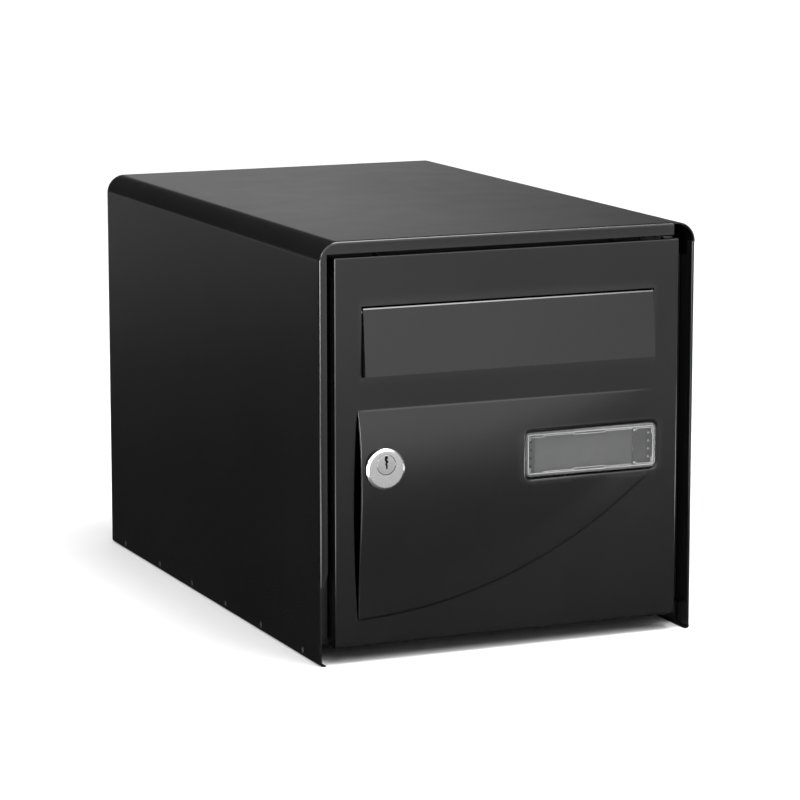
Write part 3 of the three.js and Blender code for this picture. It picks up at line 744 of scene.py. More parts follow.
def clamp(value, low, high):
    """The value, kept between two limits."""
    return min(max(value, low), high)


def smoothstep(low, high, value):
    """A smooth rise from 0 at low to 1 at high."""
    t = clamp((value - low) / (high - low), 0.0, 1.0)
    return t * t * (3 - 2 * t)


def sail_edge(x):
    """Height of the raised field's curved lower edge."""
    x = clamp(x, SAIL_LEFT, SAIL_RIGHT)
    return SAIL_FOOT + ARC_RADIUS - math.sqrt(ARC_RADIUS**2 - (x - ARC_X) ** 2)


def in_field(x, z):
    """Whether a place on the door lies in the raised field."""
    return SAIL_LEFT - NEAR < x < SAIL_RIGHT and sail_edge(x) < z < SAIL_TOP


def across_field(x):
    """How far across the raised field a place is, from 0 on the left to 1."""
    return clamp((x - SAIL_LEFT) / (SAIL_RIGHT - SAIL_LEFT), 0.0, 1.0)


def plain_rise(x, z):
    """How far the raised field stands in front of the door's face, without its stepped edges."""
    if not in_field(x, z):
        return 0.0
    edge = sail_edge(x)
    high = SAIL_TOP - edge
    across = across_field(x)
    up = (z - edge) / high
    fade = (high / (SAIL_TOP - sail_edge(SAIL_LEFT))) * (1 - across**4) ** SAIL_FADE
    up **= SAIL_LEAN
    return SAIL_RISE * fade * 4 * up * (1 - up)


def rise(x, z):
    """How far the raised field stands in front of the door's face, with a step along its two long edges."""
    height = plain_rise(x, z)
    if in_field(x, z):
        across = across_field(x)
        down, up = SAIL_TOP - z, z - sail_edge(x)
        lip = SAIL_LIP * smoothstep(0.0, 1.0, down / SAIL_LIP_HIGH) * (1 - smoothstep(*LIP_FADE, down))
        height += lip * (1 - smoothstep(0.9, 1.0, across)) * smoothstep(0.0, 0.02, across)
        step = SAIL_STEP * smoothstep(0.0, SAIL_STEP_HIGH, up) * (1 - smoothstep(*STEP_FADE, up))
        height += step * (1 - smoothstep(0.94, 1.0, across))
    return height


def door_edge(low, high):
    """Stations round the door's two folded edges: place, bend angle and depth of the return."""
    steps = 5
    first = [(low, math.pi / 2, depth) for depth in (DOOR_DEEP, DOOR_DEEP - 4.0, DOOR_BEND + 2.0)]
    for angle in (math.radians(90 * i / steps) for i in range(steps, 0, -1)):
        first.append((low + DOOR_BEND - DOOR_BEND * math.sin(angle), angle, None))
    last = [(high - (place - low), angle, depth) for place, angle, depth in reversed(first)]
    return first, last


def door_columns():
    """Stations across the door, close together where the finger pull's edge is rolled in."""
    low, high = -DOOR_HALF + DOOR_BEND, DOOR_HALF - DOOR_BEND
    curl = [SAIL_LEFT + CURL_IN * k for k in (-1.0, -0.7, -0.4, -0.15, 0.0, 0.15, 0.4, 0.7, 1.0)]
    field_end = [SAIL_RIGHT, SAIL_RIGHT - 0.8, SAIL_RIGHT + 0.8]
    places = stations(low, high, 4.0, -SLOT_HALF, SLOT_HALF, *curl, *field_end)
    first, last = door_edge(-DOOR_HALF, DOOR_HALF)
    return first + [(x, 0.0, None) for x in places] + last


def door_rows():
    """Rows up the door: folded edges as stations, the field and what is below it as shares of their
    height, and the rest as levels."""
    below = [0, 0.2, 0.4, 0.6, 0.8, 0.92, 0.975, 1]
    field = [i / 72 for i in range(1, 73)]
    field += [1 - down / 147 for down in (0.25, 0.5, 0.8, 1.1, 1.4, 1.8, 2.4, 3.2)]
    field += [0.003, 0.006, 0.010]
    above = stations(SAIL_TOP, DOOR_TOP - DOOR_BEND, 5.0, SLOT_FOOT, SLOT_TOP, SAIL_TOP + 0.7)[1:]
    first, last = door_edge(DOOR_FOOT, DOOR_TOP)
    rows = [("edge", station) for station in first]
    rows += [("below", share) for share in below]
    rows += [("field", share) for share in sorted(set(field))]
    rows += [("above", z) for z in above]
    rows += [("edge", station) for station in last]
    return rows


def door_level(x, kind, value):
    """Height of a row where it crosses a column."""
    x = clamp(x, -DOOR_HALF + DOOR_BEND, DOOR_HALF - DOOR_BEND)
    foot = DOOR_FOOT + DOOR_BEND
    if kind == "below":
        return foot + (sail_edge(x) - foot) * value
    if kind == "field":
        return sail_edge(x) + (SAIL_TOP - sail_edge(x)) * value
    return value


def pull_point(x, y, z, share, left_side):
    """A point by the finger pull: both edges roll in, and the left one is scooped away."""
    bulge = 4 * share * (1 - share)
    from_edge = abs(x - SAIL_LEFT)
    roll = CURL_IN - math.sqrt(max(0.0, CURL_IN**2 - max(0.0, CURL_IN - from_edge) ** 2))
    y += roll * min(1.0, 4 * bulge)
    if x < SAIL_LEFT - NEAR or left_side:
        return (x - SAIL_SCOOP * bulge, y, z)
    return (x, y - rise(x, z), z)


class DoorGrid:
    """The door's front as a grid of columns and rows, slit along the finger pull."""

    def __init__(self):
        self.columns = door_columns()
        self.rows = door_rows()
        self.points = []
        self.numbers = {}

    def point(self, i, j, left_side=False):
        """Where a column crosses a row."""
        x, angle_x, deep = self.columns[i]
        kind, value = self.rows[j]
        z, angle_z, deep_z = value if kind == "edge" else (door_level(x, kind, value), 0.0, None)
        if deep is None:
            deep = deep_z
        if deep is None:
            y = DOOR_FACE + DOOR_BEND - DOOR_BEND * math.cos(angle_x) * math.cos(angle_z)
        else:
            y = DOOR_FACE + deep
        if kind == "edge" or angle_x > 0.0:
            return (x, y, z)
        if kind == "field" and value < 1.0 and abs(x - SAIL_LEFT) < CURL_IN + NEAR:
            return pull_point(x, y, z, value, left_side)
        return (x, y - rise(x, z), z)

    def number(self, i, j, left_side):
        """The point's number; on the slit each side has a point of its own."""
        kind, value = self.rows[j]
        on_slit = kind == "field" and value < 1.0 and abs(self.columns[i][0] - SAIL_LEFT) < NEAR
        key = (i, j, left_side and on_slit)
        if key not in self.numbers:
            self.numbers[key] = len(self.points)
            self.points.append(self.point(i, j, left_side))
        return self.numbers[key]

    def face(self, i, j):
        """The face between two columns and two rows, or None where the door is open."""
        corners = [self.point(i + a, j + b) for a in (0, 1) for b in (0, 1)]
        x = sum(corner[0] for corner in corners) / 4
        z = sum(corner[2] for corner in corners) / 4
        side_return = any(deep is not None for _, _, deep in self.columns[i : i + 2])
        end_return = any(kind == "edge" and row[2] is not None for kind, row in self.rows[j : j + 2])
        in_slot = abs(x) < SLOT_HALF and SLOT_FOOT < z < SLOT_TOP
        at_hinge = side_return and x > 0 and min(z - DOOR_FOOT, DOOR_TOP - z) < HINGE_NOTCH
        if (side_return and end_return) or in_slot or at_hinge:
            return None
        left = x < SAIL_LEFT
        return tuple(self.number(i + a, j + b, left) for a, b in ((0, 0), (1, 0), (1, 1), (0, 1)))


def door_skin():
    """The door's outside face."""
    grid = DoorGrid()
    faces = []
    for i in range(len(grid.columns) - 1):
        for j in range(len(grid.rows) - 1):
            face = grid.face(i, j)
            if face:
                faces.append(face)
    skin = mesh_object("door_skin", grid.points, faces, DOOR_PAINT)
    tidy(skin)
    return skin


def pocket_outline(grow):
    """The name plate's recess seen from the front, grown outwards."""
    sizes = [size + POCKET_CLEAR for size in (PLATE_HALF_W, PLATE_HALF_H, PLATE_CORNER)]
    outline = rounded_outline(*sizes, PLATE_X, PLATE_Z)
    return [(x + nx * grow, z + nz * grow) for x, z, nx, nz in outline]


def pocket_bowl():
    """The recess for the name plate: a rounded lip, a wall and a floor."""
    lip = [(POCKET_LIP, 0.0), (1.5, 0.06), (1.0, 0.26), (0.5, 0.7), (0.15, 1.4)]
    foot = [(0.0, POCKET_ROUND), (-0.25, 0.25), (-POCKET_ROUND, 0.0)]
    lip_end = POCKET_FLOOR - POCKET_ROUND - 0.1
    loops = []
    for grow, sink in lip:
        loops.append([(x, min(DOOR_FACE - rise(x, z) + sink, lip_end), z) for x, z in pocket_outline(grow)])
    for grow, short in foot:
        loops.append([(x, POCKET_FLOOR - short, z) for x, z in pocket_outline(grow)])
    return loft("pocket", loops, DOOR_PAINT, cap_last=True)


def door():
    """The folded pan with its raised field, and the recess for the name plate set into it."""
    skin = door_skin()
    face_front(skin)
    thicken(skin, SHEET)
    cutter_loops = [[(x, y, z) for x, z in pocket_outline(POCKET_LIP - 0.02)] for y in (-25.0, 9.0)]
    cutter = loft("pocket_cutter", cutter_loops, DOOR_PAINT, True, True)
    barrel = rod(BARREL_RADIUS + GAP, -25, 11)
    subtract(skin, cutter, turned("lock_hole", "y", barrel, (LOCK_X, 0, LOCK_Z), DOOR_PAINT))
    ease(skin, 0.28, 60)
    bowl = pocket_bowl()
    face_front(bowl)
    thicken(bowl, POCKET_SHEET)
    whole = merged("door_panel_skin", [skin, bowl])
    smooth(whole, 32)
    place(whole, "door", "paint", "door_panel")


# ---- lock ----
def lock_body():
    """The round face, its rim reaching back to the raised field, and the barrel."""
    front, back, end = LOCK_FRONT, LOCK_BACK, LOCK_HIGH.y
    rim, waist = LOCK_RADIUS + 0.3, LOCK_RADIUS - 2.2
    profile = [
        (0, front),
        (LOCK_RADIUS - 1.3, front),
        (rim, front + 1.3),
        (rim, front + 1.7),
        (waist, back),
        (waist, back + COLLAR),
        (BARREL_RADIUS, back + COLLAR),
        (BARREL_RADIUS, end),
        (0, end),
    ]
    body = turned("lock_body_skin", "y", eased_profile(profile, 0.3), (LOCK_X, 0, LOCK_Z), NICKEL, 96)
    axis = (LOCK_X, 0, PLUG_Z)
    # This cutter's near-black is carried onto the groove walls round the plug: painted shade in the groove
    head = turned("plug_hole", "y", rod(PLUG_RADIUS + 0.28, front - 5, front + 2.3), axis, DARK_MOULDING_AND_SHADE, 64)
    shaft = turned("shaft_hole", "y", rod(SHAFT_HOLE, front - 5, end + 5), axis, NICKEL, 48)
    half_w, half_h = 3.2, 0.18
    line_z = PLUG_Z - PLUG_RADIUS - 1.3
    across, up = (LOCK_X - half_w, LOCK_X + half_w), (line_z - half_h, line_z + half_h)
    line = box_piece("line", *across, front - 1, front + 0.15, *up, NICKEL)
    subtract(body, head, shaft, line)
    ease(body, 0.16, 50)
    smooth(body, 35)
    place(body, "door", "chrome", "lock_body")


def lock_plug():
    """The turning plug, with its keyway."""
    front = LOCK_FRONT
    head_back = front + 1.9
    profile = [
        (0, front + 0.12),
        (PLUG_RADIUS, front + 0.12),
        (PLUG_RADIUS, head_back),
        (SHAFT, head_back),
        (SHAFT, PLUG_HIGH.y),
        (0, PLUG_HIGH.y),
    ]
    axis = (LOCK_X, 0, PLUG_Z)
    plug = turned("lock_plug_skin", "y", eased_profile(profile, 0.25), axis, NICKEL_BRIGHT, 64)
    right = [(0.9, 6.1), (1.3, 4.6), (0.3, 3.5), (1.5, 2.5), (1.5, 1.5), (0.35, 0.9), (1.0, 0.0)]
    left = [(0.85, -2.9), (-0.15, -2.9), (-0.3, -0.6), (-1.0, 0.6), (-0.35, 1.8), (-1.3, 3.4)]
    keyway = [(-0.9, 6.1), *right, *left]
    loops = [[(LOCK_X + x, y, PLUG_Z + z) for x, z in keyway] for y in (front - 2, front + 7.5)]
    # The keyway's walls take the cutter's near-black: painted shade inside the keyway
    subtract(plug, loft("keyway_cutter", loops, DARK_MOULDING_AND_SHADE, True, True))
    smooth(plug, 35)
    place(plug, "lock", "chrome", "lock_plug")


def cam_screw():
    """The cross-head screw that holds the cam on the plug."""
    low, high = extent("cam_screw")
    shank, head, seat = 1.7, 3.5, high.y - 2.0
    profile = [
        (0, low.y),
        (shank, low.y),
        (shank, seat),
        (head, seat),
        (head, high.y - 0.5),
        (2.6, high.y),
        (0, high.y),
    ]
    screw = turned("cam_screw_skin", "y", eased_profile(profile, 0.2), (LOCK_X, 0, PLUG_Z), ZINC, 32)
    cross = []
    for a, b in ((2.0, 0.45), (0.45, 2.0)):
        sides = (LOCK_X - a, LOCK_X + a, high.y - 1.2, high.y + 1, PLUG_Z - b, PLUG_Z + b)
        cross.append(box_piece("cross", *sides, ZINC))
    subtract(screw, *cross)
    smooth(screw, 35)
    place(screw, "lock", "zinc", "cam_screw")


# ---- name plate ----
def plate_bar(left, right, low, high, front, back, material):
    """A bar on the plate: left and right from the plate's left end, low and high from its middle."""
    across = (PLATE_LOW.x + left, PLATE_LOW.x + right)
    piece = box_piece("bar", *across, front, back, PLATE_Z + low, PLATE_Z + high, material)
    ease(piece, 0.15, 40)
    return piece


def plate_dot(from_left, up, radius, front, back, material):
    """A round stud on the plate."""
    profile = eased_profile(rod(radius, front, back), 0.15)
    return turned("dot", "y", profile, (PLATE_LOW.x + from_left, 0, PLATE_Z + up), material, 20)


def plate_loop(inset, y):
    """A loop round the name plate, set in from its edge."""
    outline = rounded_outline(PLATE_HALF_W, PLATE_HALF_H, PLATE_CORNER, PLATE_X, PLATE_Z)
    return [(x - nx * inset, y, z - nz * inset) for x, z, nx, nz in outline]


def plate_slab(name, half_w, half_h, corner, centre_x, sections, material):
    """A flat rounded slab behind the cover, from (set in, place along y) sections."""
    outline = rounded_outline(half_w, half_h, corner, centre_x, PLATE_Z)
    loops = [[(x - nx * inset, y, z - nz * inset) for x, z, nx, nz in outline] for inset, y in sections]
    slab = loft(name, loops, material, True, True)
    outward(slab)
    return slab


def frame_bars(left, right, low, high, width):
    """Four thin bars round a rectangle."""
    return [
        (left, right, low, low + width),
        (left, right, high - width, high),
        (left, left + width, low, high),
        (right - width, right, low, high),
    ]


def cover_bars():
    """The cover's raised lines in pale styrene, which paints their highlights: left, right, and low and
    high edges from the plate's middle.
    """
    half, top = PLATE_HALF_H, PLATE_HALF_H - 3.2
    both_edges = [
        (14.0, 37.5, 0.45),
        (62.5, 83.0, 0.45),
        (86.5, 98.6, 0.45),
        (98.2, 98.7, 4.6),
        (86.2, 86.7, 1.8),
    ]
    bars = [(4.6, 14.5, top - 1.2, top - 0.7), (14.2, 14.7, top - 1.2, top + 0.6)]
    bars += [(3.4, 3.9, top - 3.4, top), (3.4, 3.9, -top, -top + 3.4)]
    for sign in (-1, 1):
        low, high = sorted((sign * (half - 1.6), sign * (half - 4.3)))
        bars += frame_bars(37.5, 62.5, low, high, 0.5)
        for left, right, width in both_edges:
            bars.append((left, right, *sorted((sign * (top - width), sign * top))))
    return bars


def plate_cover():
    """The clear cover: a rounded rim, a ridge, the pane and its raised lines; the rim, ridge and lines are
    in paler styrene that paints their highlights.
    """
    front, back, half = PLATE_LOW.y, PLATE_HIGH.y, PLATE_HALF_H
    window = front + 0.45
    level, sunk = window - 0.4, window + 0.1
    rim = [(0.3, back), (0.3, front + 0.9), (0.42, front + 0.4)]
    rim += [(0.8, front + 0.08), (1.2, front), (2.0, front)]
    # The rim's greyer plastic is a painted highlight of its rounded edge
    rim_piece = loft("rim", [plate_loop(*s) for s in rim], RIM_HIGHLIGHT_STYRENE)
    face_front(rim_piece)
    thicken(rim_piece, 0.7)
    ridge = [(2.0, front + 0.6), (2.0, front + 0.1), (2.15, front)]
    ridge += [(2.55, front), (2.7, front + 0.1), (2.7, front + 0.6)]
    # The ridge is in the pale styrene: a painted highlight
    ridge_piece = loft("ridge", [plate_loop(*s) for s in ridge], PALE_HIGHLIGHT_STYRENE)
    pane = loft("pane", [plate_loop(2.6, window), plate_loop(2.6, window + 0.8)], CLEAR, True, True)
    outward(pane)
    parts = [rim_piece, ridge_piece, pane]
    # Raised lines and dots in the pale styrene: painted highlights
    parts += [plate_bar(*bar, level, sunk, PALE_HIGHLIGHT_STYRENE) for bar in cover_bars()]
    parts += [plate_dot(84.9, sign * (half - 4.4), 0.8, level, sunk, PALE_HIGHLIGHT_STYRENE) for sign in (-1, 1)]
    parts.append(plate_bar(83.4, 83.8, -half + 3.2, half - 3.2, window - 0.15, sunk, CLEAR))
    plate = merged("nameplate_cover_skin", parts)
    smooth(plate, 35)
    place(plate, "door", "clear", "nameplate_cover")


def plate_base():
    """The grey base, with a row of dark studs at its left end and of pale ones at its right."""
    low, high = extent("nameplate_base")
    sections = [(0.8, high.y), (0.0, high.y), (0.0, low.y + 0.15), (0.15, low.y), (0.8, low.y)]
    half_w, half_h = (high.x - low.x) / 2, (high.z - low.z) / 2
    parts = [plate_slab("nameplate_base_skin", half_w, half_h, 2.0, PLATE_X, sections, BASE_GREY)]
    for k in range(4):
        up = (k - 1.5) * 5.7
        parts.append(plate_dot(5.0, up, 0.95, low.y - 0.25, low.y + 0.2, DARK_MOULDING_AND_SHADE))
        parts.append(plate_dot(96.9, up, 0.85, low.y - 0.25, low.y + 0.2, PIN_GREY))
    base = merged("nameplate_base_skin", parts)
    smooth(base, 40)
    place(base, "door", "grey", "nameplate_base")


def name_card():
    """The blank label card."""
    low, high = extent("name_card")
    left, right = PLATE_LOW.x + 7.8, PLATE_LOW.x + 83.5
    sections = [(0.2, high.y), (0.0, high.y - 0.05), (0.0, low.y + 0.05), (0.2, low.y)]
    half_w, half_h = (right - left) / 2, (high.z - low.z) / 2 - 0.6
    card_piece = plate_slab("name_card_skin", half_w, half_h, 0.6, (left + right) / 2, sections, CARD)
    smooth(card_piece, 40)
    place(card_piece, "door", "grey", "name_card")


# ---- turned hardware ----
def floor_rivets():
    """The rivets that hold the floor panel to the side walls."""
    for node, side in floor_rivet_nodes():
        low, high = extent(node)
        at = (0, (low.y + high.y) / 2, (low.z + high.z) / 2)
        tail, outside = sorted((abs(low.x), abs(high.x)))
        profile = [
            (0, tail),
            (2.4, tail),
            (2.5, tail + 0.55),
            (1.5, tail + 0.65),
            (1.5, outside - 0.8),
            (2.45, outside - 0.75),
            (2.4, outside - 0.35),
            (1.6, outside - 0.08),
            (0.8, outside),
            (0, outside),
        ]
        profile = [(radius, side * along) for radius, along in profile]
        piece = turned(node + "_head", "x", profile, at, RIVET_PAINT, 24)
        smooth(piece, 35)
        place(piece, "case", "zinc", node)


def bracket_rivets():
    """The rivets of the hinge brackets: upright ones at the foot, and ones along y at the top."""
    for end, number in (("lower", 1), ("lower", 2), ("upper", 1), ("upper", 2)):
        node = f"{end}_bracket_rivet_{number}"
        low, high = extent(node)
        middle = (low + high) / 2
        if end == "lower":
            axis, first, last, at = "z", low.z, high.z, (middle.x, middle.y, 0)
        else:
            axis, first, last, at = "y", low.y, high.y, (middle.x, 0, middle.z)
        half = [(0.0, 0.0), (1.6, 0.08), (2.4, 0.5), (1.5, 0.6)]
        profile = [(radius, first + along) for radius, along in half]
        profile += [(radius, last - along) for radius, along in reversed(half)]
        # Dark zinc on these rivets is painted shade of the hinge gap
        piece = turned(node + "_head", axis, profile, at, ZINC_DARKENED_AS_SHADE, 24)
        smooth(piece, 35)
        place(piece, "case", "zinc", node)


def hinge_pin(end, up):
    """A stub pin through the door's end fold; up is 1 at the foot and -1 at the top."""
    low, high = extent(end + "_hinge_pin")
    head, tip = (low.z, high.z) if up > 0 else (high.z, low.z)
    profile = [
        (0, head),
        (3.1, head),
        (3.5, head + up * 0.3),
        (3.5, head + up * 0.9),
        (2.0, head + up * 0.9),
        (2.0, tip - up * 0.5),
        (1.5, tip),
        (0, tip),
    ]
    # Dark zinc on the pin is painted shade of the hinge gap
    pin = turned(end + "_hinge_pin_skin", "z", profile, hinge_axis(end), ZINC_DARKENED_AS_SHADE, 32)
    smooth(pin, 35)
    place(pin, "door", "zinc", end + "_hinge_pin")


def hinge_bush(end, up):
    """The flanged bush that the pin turns in; the upper one's flange runs into the door's end fold."""
    low, high = extent(end + "_hinge_bush")
    near, far = (low.z, high.z) if up > 0 else (high.z, low.z)
    flange = (extent(end + "_hinge_bracket")[0].z - GAP) if up > 0 else near - up * 2.6
    bore, sleeve, rim = 2.3, 3.2, (high.x - low.x) / 2
    profile = [
        (bore, near + up * 0.2),
        (bore + 0.2, near),
        (rim - 0.25, near),
        (rim, near + up * 0.25),
        (rim, flange - up * 0.2),
        (rim - 0.2, flange),
        (sleeve, flange),
        (sleeve, far - up * 0.15),
        (sleeve - 0.15, far),
        (bore, far),
        (bore, near + up * 0.2),
    ]
    # Near-black here is painted shade of the gap round the hinge
    bush = turned(end + "_hinge_bush_skin", "z", profile, hinge_axis(end), NYLON_DARKENED_AS_SHADE, 40)
    smooth(bush, 35)
    place(bush, "case", "nylon", end + "_hinge_bush")


def hinge_axis(end):
    """The place of a hinge's axis, from its pin."""
    low, high = extent(end + "_hinge_pin")
    return ((low.x + high.x) / 2, (low.y + high.y) / 2, 0)


def hinges():
    """A pin and a bush at each end of the door's hinged side."""
    for end, up in (("lower", 1), ("upper", -1)):
        hinge_pin(end, up)
        hinge_bush(end, up)


def bumpers():
    """The domed rubber bumpers that the door shuts on."""
    for side in ("left", "right"):
        low, high = extent("door_bumper_" + side)
        middle = (low + high) / 2
        radius = (high.x - low.x) / 2
        profile = [
            (0, low.y),
            (2.4, low.y + 0.05),
            (3.4, low.y + 0.4),
            (4.3, low.y + 1.1),
            (4.8, low.y + 2.0),
            (radius, low.y + 3.0),
            (radius, high.y - 0.4),
            (radius - 0.4, high.y),
            (0, high.y),
        ]
        name = "door_bumper_" + side + "_skin"
        piece = turned(name, "y", profile, (middle.x, 0, middle.z), RUBBER, 40)
        smooth(piece, 50)
        place(piece, "case", "rubber", "door_bumper_" + side)


def flap_rod():
    """The rod that the letter flap turns on."""
    low, high = extent("flap_rod")
    middle = (low + high) / 2
    radius, cut = (high.z - low.z) / 2, 0.3
    profile = [(0, low.x), (radius - cut, low.x), (radius, low.x + cut)]
    profile += [(radius, high.x - cut), (radius - cut, high.x), (0, high.x)]
    piece = turned("flap_rod_skin", "x", profile, (0, middle.y, middle.z), ZINC, 32)
    smooth(piece, 35)
    place(piece, "door", "zinc", "flap_rod")


# ---- build ----
outer_shell()
door()
lock_body()
lock_plug()
cam_screw()
plate_cover()
plate_base()
name_card()
floor_rivets()
bracket_rivets()
hinges()
bumpers()
flap_rod()

# CAD nodes whose own shape is kept: material, body, slot and how far their edges are rounded
REFINED = (
    ("letter_flap", DOOR_PAINT, "flap", "paint", 0.18),
    ("slot_guard", INNER_PAINT, "door", "paint", 0.3),
    ("floor_panel", INNER_PAINT, "case", "paint", 0.3),
    ("back_panel", INNER_PAINT, "case", "paint", 0.3),
    ("lock_side_jamb", INNER_PAINT, "case", "paint", 0.3),
    ("hinge_side_jamb", INNER_PAINT, "case", "paint", 0.3),
    ("header_rail", INNER_PAINT, "case", "paint", 0.3),
    # The brackets' dark zinc is painted shade of the door gap
    ("lower_hinge_bracket", ZINC_DARKENED_AS_SHADE, "case", "zinc", 0.25),
    ("upper_hinge_bracket", ZINC_DARKENED_AS_SHADE, "case", "zinc", 0.25),
    ("flap_bracket_left", ZINC, "door", "zinc", 0.2),
    ("flap_bracket_right", ZINC, "door", "zinc", 0.2),
    ("lock_nut", ZINC, "door", "zinc", 0.35),
    ("lock_cam", ZINC, "lock", "zinc", 0.3),
)
for settings in REFINED:
    refined(*settings)


# ---- stage, in metres ----
def upright(x0, y0, x1, y1, low, high):
    """Corners of an upright sheet over the line from one place on the floor to another."""
    return [(x0, y0, low), (x1, y1, low), (x1, y1, high), (x0, y0, high)]


def flat(x0, x1, y0, y1, z):
    """Corners of a level sheet."""
    return [(x0, y0, z), (x1, y0, z), (x1, y1, z), (x0, y1, z)]


def sheet_mesh(name, corners, material):
    """A flat four-cornered sheet that belongs to the stage."""
    mesh = bpy.data.meshes.new(name)
    mesh.from_pydata(corners, [], [(0, 1, 2, 3)])
    mesh.materials.append(material)
    plane = bpy.data.objects.new(name, mesh)
    bpy.context.scene.collection.objects.link(plane)
    return plane


def floor():
    """A wide pale floor under the box, left out of the reflections, which the cards provide."""
    size = 30.0
    material, _, shader = nodes_of("pale_floor")
    shader.inputs["Base Color"].default_value = (0.86, 0.86, 0.86, 1.0)
    shader.inputs["Roughness"].default_value = 0.85
    shader.inputs["Specular IOR Level"].default_value = 0.1
    plane = sheet_mesh("floor", flat(-size, size, -size, size, 0), material)
    plane.visible_glossy = False


def glow(name, axis, stops):
    """An emission that changes along one axis: (place in metres, radiance) stops."""
    material = bpy.data.materials.new(name)
    material.use_nodes = True
    tree = material.node_tree
    tree.nodes.clear()
    place = tree.nodes.new("ShaderNodeTexCoord")
    parts = tree.nodes.new("ShaderNodeSeparateXYZ")
    tree.links.new(place.outputs["Object"], parts.inputs[0])
    first, last = stops[0][0], stops[-1][0]
    along = spread(tree, parts.outputs[axis], 0.0, 1.0, first, last)
    top = max(level for _, level in stops)
    steps = [((spot - first) / (last - first), (level / top,) * 3) for spot, level in stops]
    emission = tree.nodes.new("ShaderNodeEmission")
    emission.inputs["Strength"].default_value = top
    tree.links.new(ramp(tree, along, steps), emission.inputs["Color"])
    out = tree.nodes.new("ShaderNodeOutputMaterial")
    tree.links.new(emission.outputs[0], out.inputs["Surface"])
    return material


def card(name, corners, axis, stops):
    """A reflection card: seen only in glossy surfaces, and casting no light or shadow."""
    plane = sheet_mesh(name, corners, glow(name, axis, stops))
    plane.visible_camera = False
    plane.visible_diffuse = False
    plane.visible_transmission = False
    plane.visible_volume_scatter = False
    plane.visible_shadow = False


WIDE, TALL = 6.0, 5.0  # half width and height of the room of cards
LOW = -0.002  # just under the floor


def ground_cards():
    """The floor as the paint mirrors it: dark towards the box, and a little darker on the right."""
    near_box = [(-WIDE, 1.4), (-1.9, 1.15), (-1.1, 0.68), (-0.55, 0.34), (-0.27, 0.24)]
    under = [(-0.235, 0.06), (-0.19, 0.03), (0.5, 0.035)]
    behind = [(1.0, 0.065), (1.5, 0.13), (2.2, 0.2), (WIDE, 0.3)]
    card("ground_card", flat(-WIDE, WIDE, -WIDE, WIDE, LOW), "Y", near_box + under + behind)
    darker = [(spot, level * 0.72) for spot, level in near_box]
    card("ground_card_right", flat(0.75, WIDE, -WIDE, -0.25, LOW / 2), "Y", darker)


def front_cards():
    """The wall in front of the box, brighter on the left."""
    split = 2.9
    left = [(0.0, 1.5), (1.0, 1.7), (2.5, 1.7), (TALL, 2.4)]
    card("front_card", upright(-WIDE, -WIDE, split, -WIDE, LOW, TALL), "Z", left)
    right = [(0.0, 1.0), (1.0, 1.3), (2.5, 1.6), (TALL, 2.2)]
    card("front_card_right", upright(split, -WIDE, WIDE, -WIDE, LOW, TALL), "Z", right)


def back_cards():
    """The wall behind the box, which the roof mirrors: a pale band low on the right."""
    edge, top = 0.8, 1.6
    band = [(edge, 0.35), (2.4, 0.35), (2.9, 0.24), (3.6, 0.12), (WIDE, 0.1)]
    card("back_card", upright(WIDE, WIDE, edge, WIDE, LOW, top), "X", band)
    card("back_card_left", upright(edge, WIDE, -WIDE, WIDE, LOW, top), "X", [(-WIDE, 0.05), (edge, 0.04)])
    card("back_card_high", upright(WIDE, WIDE, -WIDE, WIDE, top, TALL), "Z", [(top, 0.05), (TALL, 0.03)])


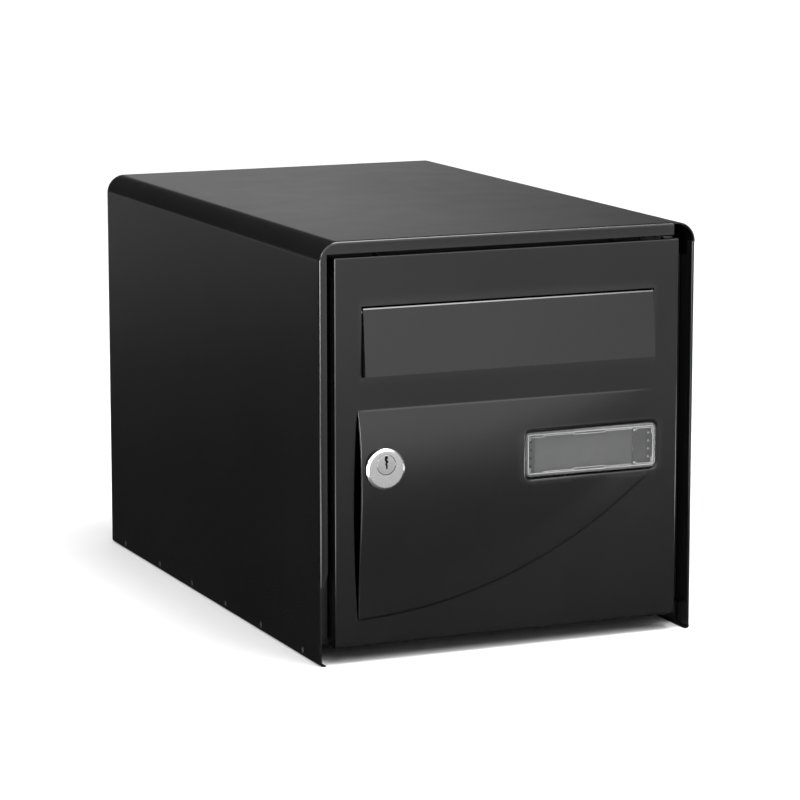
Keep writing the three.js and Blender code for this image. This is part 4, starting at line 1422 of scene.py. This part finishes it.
def cards():
    """What the gloss paint mirrors: the floor, soft walls round the box, a strip and two floor patches."""
    ground_cards()
    front_cards()
    back_cards()
    left = [(-WIDE, 1.2), (-2.0, 0.6), (0.5, 0.05), (WIDE, 0.05)]
    card("left_card", upright(-WIDE, WIDE, -WIDE, -WIDE, LOW, TALL), "Y", left)
    right = [(-WIDE, 1.0), (-2.0, 0.5), (0.5, 0.12), (WIDE, 0.12)]
    card("right_card", upright(WIDE, -WIDE, WIDE, WIDE, LOW, TALL), "Y", right)
    ceiling = [(-WIDE, 2.6), (-2.5, 2.6), (-0.5, 0.2), (WIDE, 0.03)]
    card("ceiling_card", flat(-WIDE, WIDE, -WIDE, WIDE, TALL), "Y", ceiling)
    strip_top = 0.34
    strip = upright(-1.30, -0.62, -0.95, -1.05, 0.0, strip_top)
    card("strip_card", strip, "Z", [(0.0, 8.0), (0.1, 16.0), (strip_top, 16.0)])
    near, far, above = -0.30, -0.66, 0.001
    for side, x0, x1, level in (("left", -1.05, -0.34, 6.0), ("right", 0.46, 1.0, 9.0)):
        card("floor_reflector_" + side, flat(x0, x1, far, near, above), "Y", [(far, level), (near, level)])


def area_light(name, position, target, size, radiance):
    """A softbox of a given radiance, unseen by the camera."""
    data = bpy.data.lights.new(name, "AREA")
    data.shape = "RECTANGLE"
    data.size, data.size_y = size
    data.energy = radiance * math.pi * size[0] * size[1]
    light = bpy.data.objects.new(name, data)
    bpy.context.scene.collection.objects.link(light)
    light.location = position
    light.rotation_euler = (Vector(target) - Vector(position)).to_track_quat("-Z", "Y").to_euler()
    light.visible_camera = False


def studio():
    """Even pale surroundings, a wide soft sun that no gloss mirrors, and two softboxes."""
    world = bpy.data.worlds.new("studio")
    bpy.context.scene.world = world
    world.use_nodes = True
    world.node_tree.nodes["Background"].inputs["Color"].default_value = (0.60, 0.60, 0.60, 1.0)
    world.node_tree.nodes["Background"].inputs["Strength"].default_value = 1.0
    sky = bpy.data.lights.new("overhead_sun", "SUN")
    sky.energy = 2.0
    sky.angle = math.radians(75)
    sun = bpy.data.objects.new("overhead_sun", sky)
    bpy.context.scene.collection.objects.link(sun)
    sun.rotation_euler = (math.radians(18), math.radians(-12), 0)
    sun.visible_glossy = False
    area_light("overhead_softbox", (0.5, -0.6, 2.4), (0, 0, 0.2), (1.3, 1.0), 13.0)
    area_light("side_softbox", (-2.0, -1.6, 1.3), (0, -0.1, 0.2), (0.6, 0.6), 14.0)
    bpy.context.scene.view_settings.view_transform = "Standard"


def camera():
    """The camera stands off the box's left front corner, a little above it, with a long lens."""
    data = bpy.data.cameras.new("camera")
    data.sensor_width = 36.0
    data.lens = 157.8
    eye = bpy.data.objects.new("camera", data)
    bpy.context.scene.collection.objects.link(eye)
    eye.location = (-1.0225, -2.3738, 0.601)
    eye.rotation_euler = tuple(math.radians(a) for a in (79.90, 0.0, -23.52))
    bpy.context.scene.camera = eye


floor()
cards()
studio()
camera()

bpy.context.view_layer.update()
